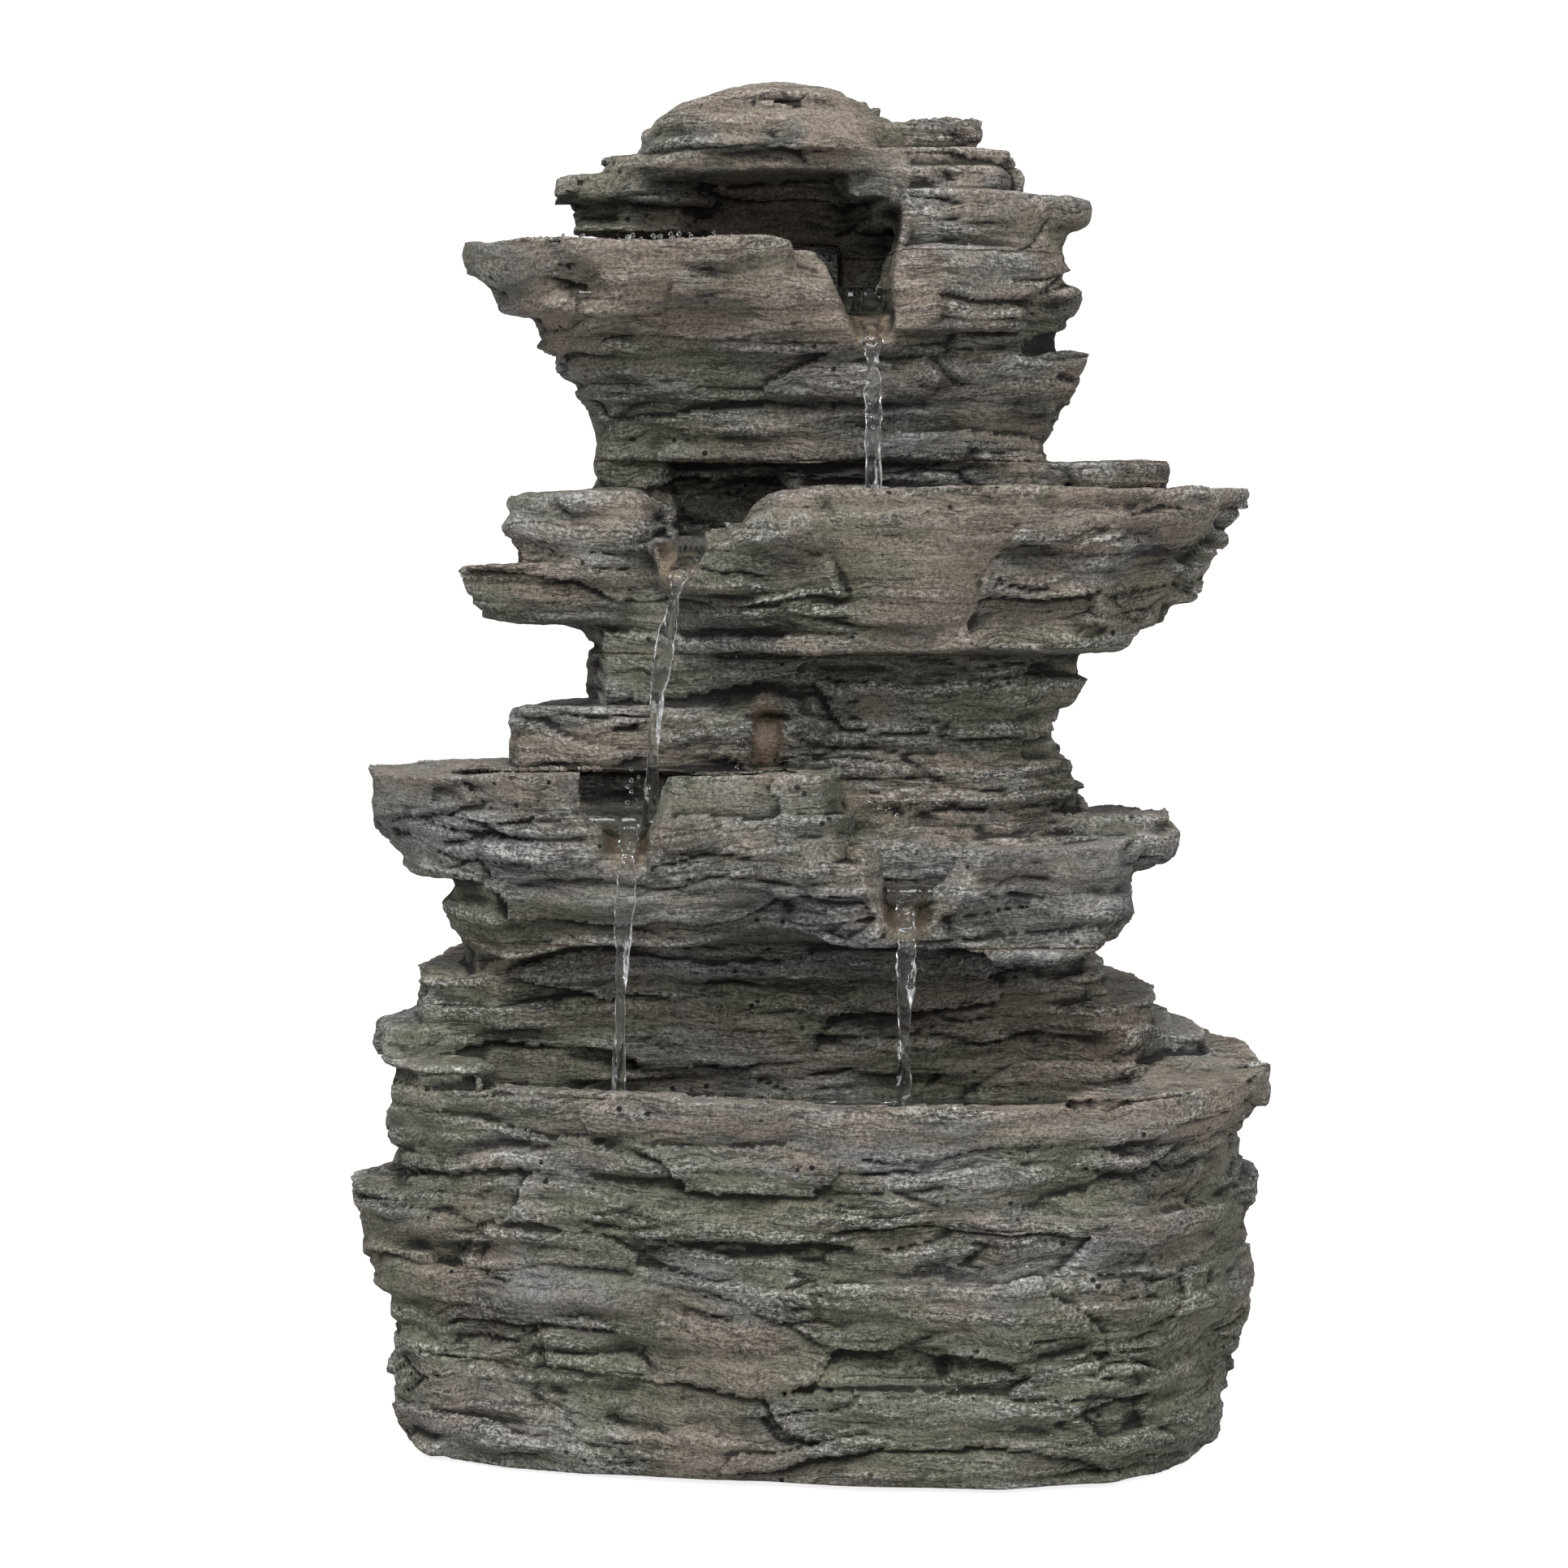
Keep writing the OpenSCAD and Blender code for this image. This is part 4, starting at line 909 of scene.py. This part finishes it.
waves = {
    "step": 1.6,           # mm between points on the surface
    "ripple": 0.35,        # mm high, and mm from one to the next
    "rippleWide": 9,
    "ring": 0.9,           # mm high where a fall lands, radians per mm, mm to fade out
    "ringTurn": 1.15,
    "ringFade": 11,
}


def insideOutline(x, y, outline):
    inside = np.zeros(len(x), bool)
    for (ax, ay), (bx, by) in zip(outline, outline[1:] + outline[:1]):
        if ay != by:
            crosses = ((ay > y) != (by > y)) & (x < (bx - ax) * (y - ay) / (by - ay) + ax)
            inside ^= crosses
    return inside


def makePool(name, c, seed):
    corners = np.array(c["outline"])
    low, high = corners.min(0), corners.max(0)
    step, wide = waves["step"], waves["rippleWide"]
    nx, ny = np.ceil((high - low) / step).astype(int) + 1
    gx, gy = np.meshgrid(low[0] + step * np.arange(nx), low[1] + step * np.arange(ny), indexing="ij")
    x, y = gx.ravel(), gy.ravel()
    z = waves["ripple"] * gradientNoise(np.stack([x / wide, y / wide, 0 * x + seed], 1), 81)
    for fx, fy in c["falls"]:
        d = np.hypot(x - fx, y - fy)
        z = z + waves["ring"] * np.cos(d * waves["ringTurn"]) * np.exp(-d / waves["ringFade"])
    keep = insideOutline(x + step / 2, y + step / 2, c["outline"]).reshape(nx, ny)
    b = bmesh.new()
    spots = {}
    for i, j in np.argwhere(keep[:-1, :-1]):
        corner = []
        for k in ((i, j), (i + 1, j), (i + 1, j + 1), (i, j + 1)):
            if k not in spots:
                at = k[0] * ny + k[1]
                spots[k] = b.verts.new((x[at] * mm, y[at] * mm, (c["level"] + z[at]) * mm))
            corner.append(spots[k])
        b.faces.new(corner)
    grown = bmesh.ops.extrude_face_region(b, geom=b.faces[:])
    for v in grown["geom"]:
        if isinstance(v, bmesh.types.BMVert):
            v.co.z = c["floor"] * mm
    bmesh.ops.recalc_face_normals(b, faces=b.faces)
    mesh = bpy.data.meshes.new(name)
    b.to_mesh(mesh)
    b.free()
    shadeSmooth(mesh)
    return linkedMesh(name, mesh)


# Drops thrown up round the falls and runs: centre, spread and count, in mm.
dropSettings = {
    "splashes": [
        ((19.5, -52, 273), (5, 3, 4), 9),
        ((-45, -53, 194), (7, 3, 8), 14),
        ((-53, -60, 106), (6, 3, 4), 10),
        ((28, -64, 105), (6, 3, 4), 9),
        ((24, -38, 182), (7, 4, 9), 12),
        ((19.5, -49, 300), (3, 1.5, 9), 6),
        ((-18, -26, 206), (6, 2, 12), 8),
    ],
    "rimDrops": 46,        # beads along the upper tray's rim, from its left end
    "rimStart": (-82, -36, 350.3),
    "rimRun": (62, -14),   # mm to the right and to the front
    "rimTurn": 2.6,        # how soon they have come to the front
    "radius": (0.28, 0.75),
}


def makeDrops(c):
    pick = np.random.default_rng(7)
    b = bmesh.new()
    spots = [pick.normal(centre, np.array(spread) * 0.5) for centre, spread, count in c["splashes"]
             for i in range(count)]
    x, y, z = c["rimStart"]
    runX, runY = c["rimRun"]
    for i in range(c["rimDrops"]):
        t = pick.uniform(0, 1)
        spot = np.array([x + runX * t, y + runY * min(1, c["rimTurn"] * t), z])
        spots.append(spot + pick.normal(0, 0.5, 3))
    for spot in spots:
        r = pick.uniform(*c["radius"])
        made = bmesh.ops.create_icosphere(b, subdivisions=2, radius=r * mm)
        for v in made["verts"]:
            v.co = v.co * (1 + 0.12 * math.sin(v.co.x / mm * 5)) + Vector(spot) * mm
    mesh = bpy.data.meshes.new("splashDrops")
    b.to_mesh(mesh)
    b.free()
    shadeSmooth(mesh)
    return linkedMesh("splashDrops", mesh)


def waterFinish(name, tint, rippleScale, depth):
    paint = Finish(name)
    ripple = paint.noise(paint.stretch(paint.where, (1, 1, 0.35)), rippleScale, 3)
    for socket, value in (("Transmission Weight", 1.0), ("IOR", 1.33)):
        paint.shader.inputs[socket].default_value = value
    return paint.set(Base_Color=paint.mix(paint.ramp(ripple, 0.3, 0.7), tint, (0.97, 0.985, 0.99)),
                     Roughness=0.02 + 0.03 * ripple, Normal=paint.bump(ripple, depth))


fallingWater = waterFinish("fallingWater", (0.93, 0.96, 0.97), 420, 0.5 * mm)
poolWater = waterFinish("poolWater", (0.80, 0.86, 0.84), 130, 0.4 * mm)
waterPieces = [(makeFall(name, c, i), fallingWater) for i, (name, c) in enumerate(fallSettings.items())]
waterPieces += [(makePool(name, c, i), poolWater) for i, (name, c) in enumerate(poolSettings.items())]
waterPieces.append((makeDrops(dropSettings), fallingWater))
for piece, material in waterPieces:
    dress(piece, material)
    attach(piece, "fountain")
print("water made:", len(waterPieces), "pieces")


# Moulded plastic and rubber: a fine texture, with lime left by the water on it.
def mouldedFinish(name, c):
    paint = Finish(name)
    texture = paint.noise(paint.where, c["texture"], 3)
    scale = paint.noise(paint.where, 90, 4, 0.6)
    body = paint.mix(paint.ramp(texture, 0.35, 0.7) * 0.5, c["colour"], c["light"])
    body = paint.mix(paint.ramp(scale, 0.56, 0.70) * c["lime"], body, (0.42, 0.41, 0.38))
    return paint.set(Base_Color=body, Roughness=c["roughness"] + (scale - 0.5) * 0.25,
                     Normal=paint.bump(texture, c["depth"] * mm, 0.6))


# Plated or bare metal with fine drawn scratches across one axis.
def metalFinish(name, c):
    paint = Finish(name)
    drawn = paint.noise(paint.stretch(paint.where, c["drawn"]), 1, 4, 0.6)
    stain = paint.noise(paint.where, 160, 3)
    body = paint.mix(paint.ramp(drawn, 0.3, 0.7), c["colour"], c["light"])
    body = paint.mix(paint.ramp(stain, 0.58, 0.74) * 0.4, body, c["stain"])
    return paint.set(Base_Color=body, Metallic=1 - 0.5 * paint.ramp(stain, 0.6, 0.74),
                     Roughness=c["roughness"] + drawn * 0.15,
                     Normal=paint.bump(drawn, 0.05 * mm, c["relief"]))


# Bands that repeat along one axis: laminations of the core, turns of the winding.
def bandedFinish(name, c):
    paint = Finish(name)
    band = paint.node("ShaderNodeTexWave", {"wave_type": "BANDS", "bands_direction": c["axis"]},
                      Vector=paint.where, Scale=c["bands"], Distortion=c["uneven"], Detail=2)
    body = paint.mix(paint.ramp(band, 0.1, 0.6), c["gap"], c["colour"])
    return paint.set(Base_Color=body, Metallic=c["metallic"], Roughness=c["roughness"] + 0.2 * (1 - band),
                     Normal=paint.bump(band, c["depth"] * mm, 0.8))


def clearFinish(name, c):
    paint = Finish(name)
    cloud = paint.noise(paint.where, 60, 4)
    for socket, value in (("Transmission Weight", 0.9), ("IOR", 1.45)):
        paint.shader.inputs[socket].default_value = value
    return paint.set(Base_Color=paint.mix(paint.ramp(cloud, 0.35, 0.7), c["colour"], c["light"]),
                     Roughness=0.08 + 0.2 * cloud, Normal=paint.bump(cloud, 0.1 * mm, 0.4))


finishes = {
    "pumpPlastic": (mouldedFinish, {
        "colour": (0.012, 0.012, 0.013), "light": (0.024, 0.024, 0.026), "texture": 1600,
        "lime": 0.12, "roughness": 0.42, "depth": 0.08},
        ["motor_housing", "volute_cover", "strainer_cover", "outlet_elbow", "power_inlet"]),
    "dialPlastic": (mouldedFinish, {
        "colour": (0.05, 0.052, 0.056), "light": (0.085, 0.088, 0.094), "texture": 1400,
        "lime": 0.1, "roughness": 0.38, "depth": 0.06}, ["flow_dial"]),
    "rotorPlastic": (mouldedFinish, {
        "colour": (0.52, 0.52, 0.50), "light": (0.66, 0.66, 0.64), "texture": 1800,
        "lime": 0.08, "roughness": 0.35, "depth": 0.05}, ["impeller"]),
    "softRubber": (mouldedFinish, {
        "colour": (0.014, 0.014, 0.014), "light": (0.034, 0.033, 0.032), "texture": 900,
        "lime": 0.16, "roughness": 0.78, "depth": 0.12},
        ["foot_pads", "suction_cups", "pump_gland", "shaft_bushes"]),
    "leadSheath": (mouldedFinish, {
        "colour": (0.010, 0.010, 0.010), "light": (0.022, 0.022, 0.022), "texture": 700,
        "lime": 0.08, "roughness": 0.5, "depth": 0.1}, ["pump_lead"]),
    "shaftCeramic": (mouldedFinish, {
        "colour": (0.72, 0.69, 0.60), "light": (0.80, 0.78, 0.71), "texture": 2200,
        "lime": 0.0, "roughness": 0.22, "depth": 0.02}, ["impeller_shaft"]),
    "platedMagnet": (metalFinish, {
        "colour": (0.52, 0.52, 0.51), "light": (0.66, 0.66, 0.65), "stain": (0.26, 0.22, 0.17),
        "drawn": (700, 90, 700), "roughness": 0.22, "relief": 0.3},
        ["door_magnets", "frame_magnets"]),
    "nutSteel": (metalFinish, {
        "colour": (0.42, 0.42, 0.42), "light": (0.58, 0.58, 0.57), "stain": (0.20, 0.12, 0.07),
        "drawn": (260, 1500, 260), "roughness": 0.3, "relief": 0.6}, ["inlet_nut"]),
    "clipSteel": (metalFinish, {
        "colour": (0.40, 0.41, 0.42), "light": (0.56, 0.57, 0.58), "stain": (0.22, 0.15, 0.10),
        "drawn": (200, 200, 1800), "roughness": 0.26, "relief": 0.5}, ["tube_clips"]),
    "coreSteel": (bandedFinish, {
        "colour": (0.34, 0.35, 0.37), "gap": (0.06, 0.06, 0.065), "axis": "Y", "bands": 320,
        "uneven": 0.4, "metallic": 0.9, "roughness": 0.38, "depth": 0.12}, ["stator_core"]),
    "copperWinding": (bandedFinish, {
        "colour": (0.62, 0.24, 0.09), "gap": (0.10, 0.03, 0.015), "axis": "X", "bands": 520,
        "uneven": 1.2, "metallic": 0.85, "roughness": 0.3, "depth": 0.15}, ["stator_coil"]),
    "clearVinyl": (clearFinish, {
        "colour": (0.80, 0.86, 0.84), "light": (0.93, 0.96, 0.95)}, ["riser_tube"]),
}

for name, (maker, c, dressed) in finishes.items():
    material = maker(name, c)
    for node in dressed:
        for slot in nodes[node].material_slots:
            slot.material = material
print("finishes made:", len(finishes))

stageSettings = {
    "floor": (0.50, 0.50, 0.50),
    "floorGlow": 0.85,     # seen by the camera alone, so that it lights nothing
    "skyLight": 0.66,
    "key": 34,
    "keyPlace": (-0.40, -1.15, 1.6),
    "fill": 6,
    "fillPlace": (1.2, -0.9, 0.7),
    "lightAim": (0, 0, 0.2),
    "lightSize": 0.9,
    "reach": 7.5,          # m out to the floor's edge
    "sweepFrom": 0.45,     # part of the way out where it starts to rise
    "sweepTall": 4.5,
}


def areaLight(name, place, target, size, power):
    data = bpy.data.lights.new(name, "AREA")
    data.shape, data.size, data.energy = "DISK", size, power
    light = bpy.data.objects.new(name, data)
    light.location = place
    light.rotation_euler = (Vector(target) - Vector(place)).to_track_quat("-Z", "Y").to_euler()
    scene.collection.objects.link(light)


# A floor that sweeps up into a backdrop on every side.
def makeFloor(c):
    rings, around = 26, 72
    rows = []
    for i in range(rings + 1):
        t = i / rings
        rows.append((0.02 + c["reach"] * t, c["sweepTall"] * max(0, t - c["sweepFrom"]) ** 2))
    spots, faces = [], []
    for r, z in rows:
        for k in range(around):
            a = 2 * math.pi * k / around
            spots.append((r * math.cos(a), r * math.sin(a), z))
    for i in range(rings):
        for k in range(around):
            l = (k + 1) % around
            faces.append((i * around + k, i * around + l, (i + 1) * around + l, (i + 1) * around + k))
    faces.append(tuple(reversed(range(around))))
    mesh = bpy.data.meshes.new("floor")
    mesh.from_pydata(spots, [], faces)
    shadeSmooth(mesh)
    floor = linkedMesh("floor", mesh)
    paint = Finish("paleFloor")
    paint.shader.inputs["Emission Strength"].default_value = c["floorGlow"]
    seen = paint.node("ShaderNodeLightPath", out="Is Camera Ray")
    dress(floor, paint.set(Base_Color=c["floor"], Roughness=0.95, Emission_Color=seen))


def makeLight(c):
    scene.world = bpy.data.worlds.new("studio")
    scene.world.use_nodes = True
    sky = Paint(scene.world.node_tree)
    seen = sky.node("ShaderNodeLightPath", out="Is Camera Ray")
    background = sky.tree.nodes["Background"]
    sky.feed(background.inputs[1], seen * (1 - c["skyLight"]) + c["skyLight"])
    sky.feed(background.inputs[0], (1, 1, 1))
    areaLight("key", c["keyPlace"], c["lightAim"], c["lightSize"], c["key"])
    areaLight("fill", c["fillPlace"], c["lightAim"], c["lightSize"], c["fill"])
    scene.view_settings.view_transform = "Standard"


makeFloor(stageSettings)
makeLight(stageSettings)
print("stage set")
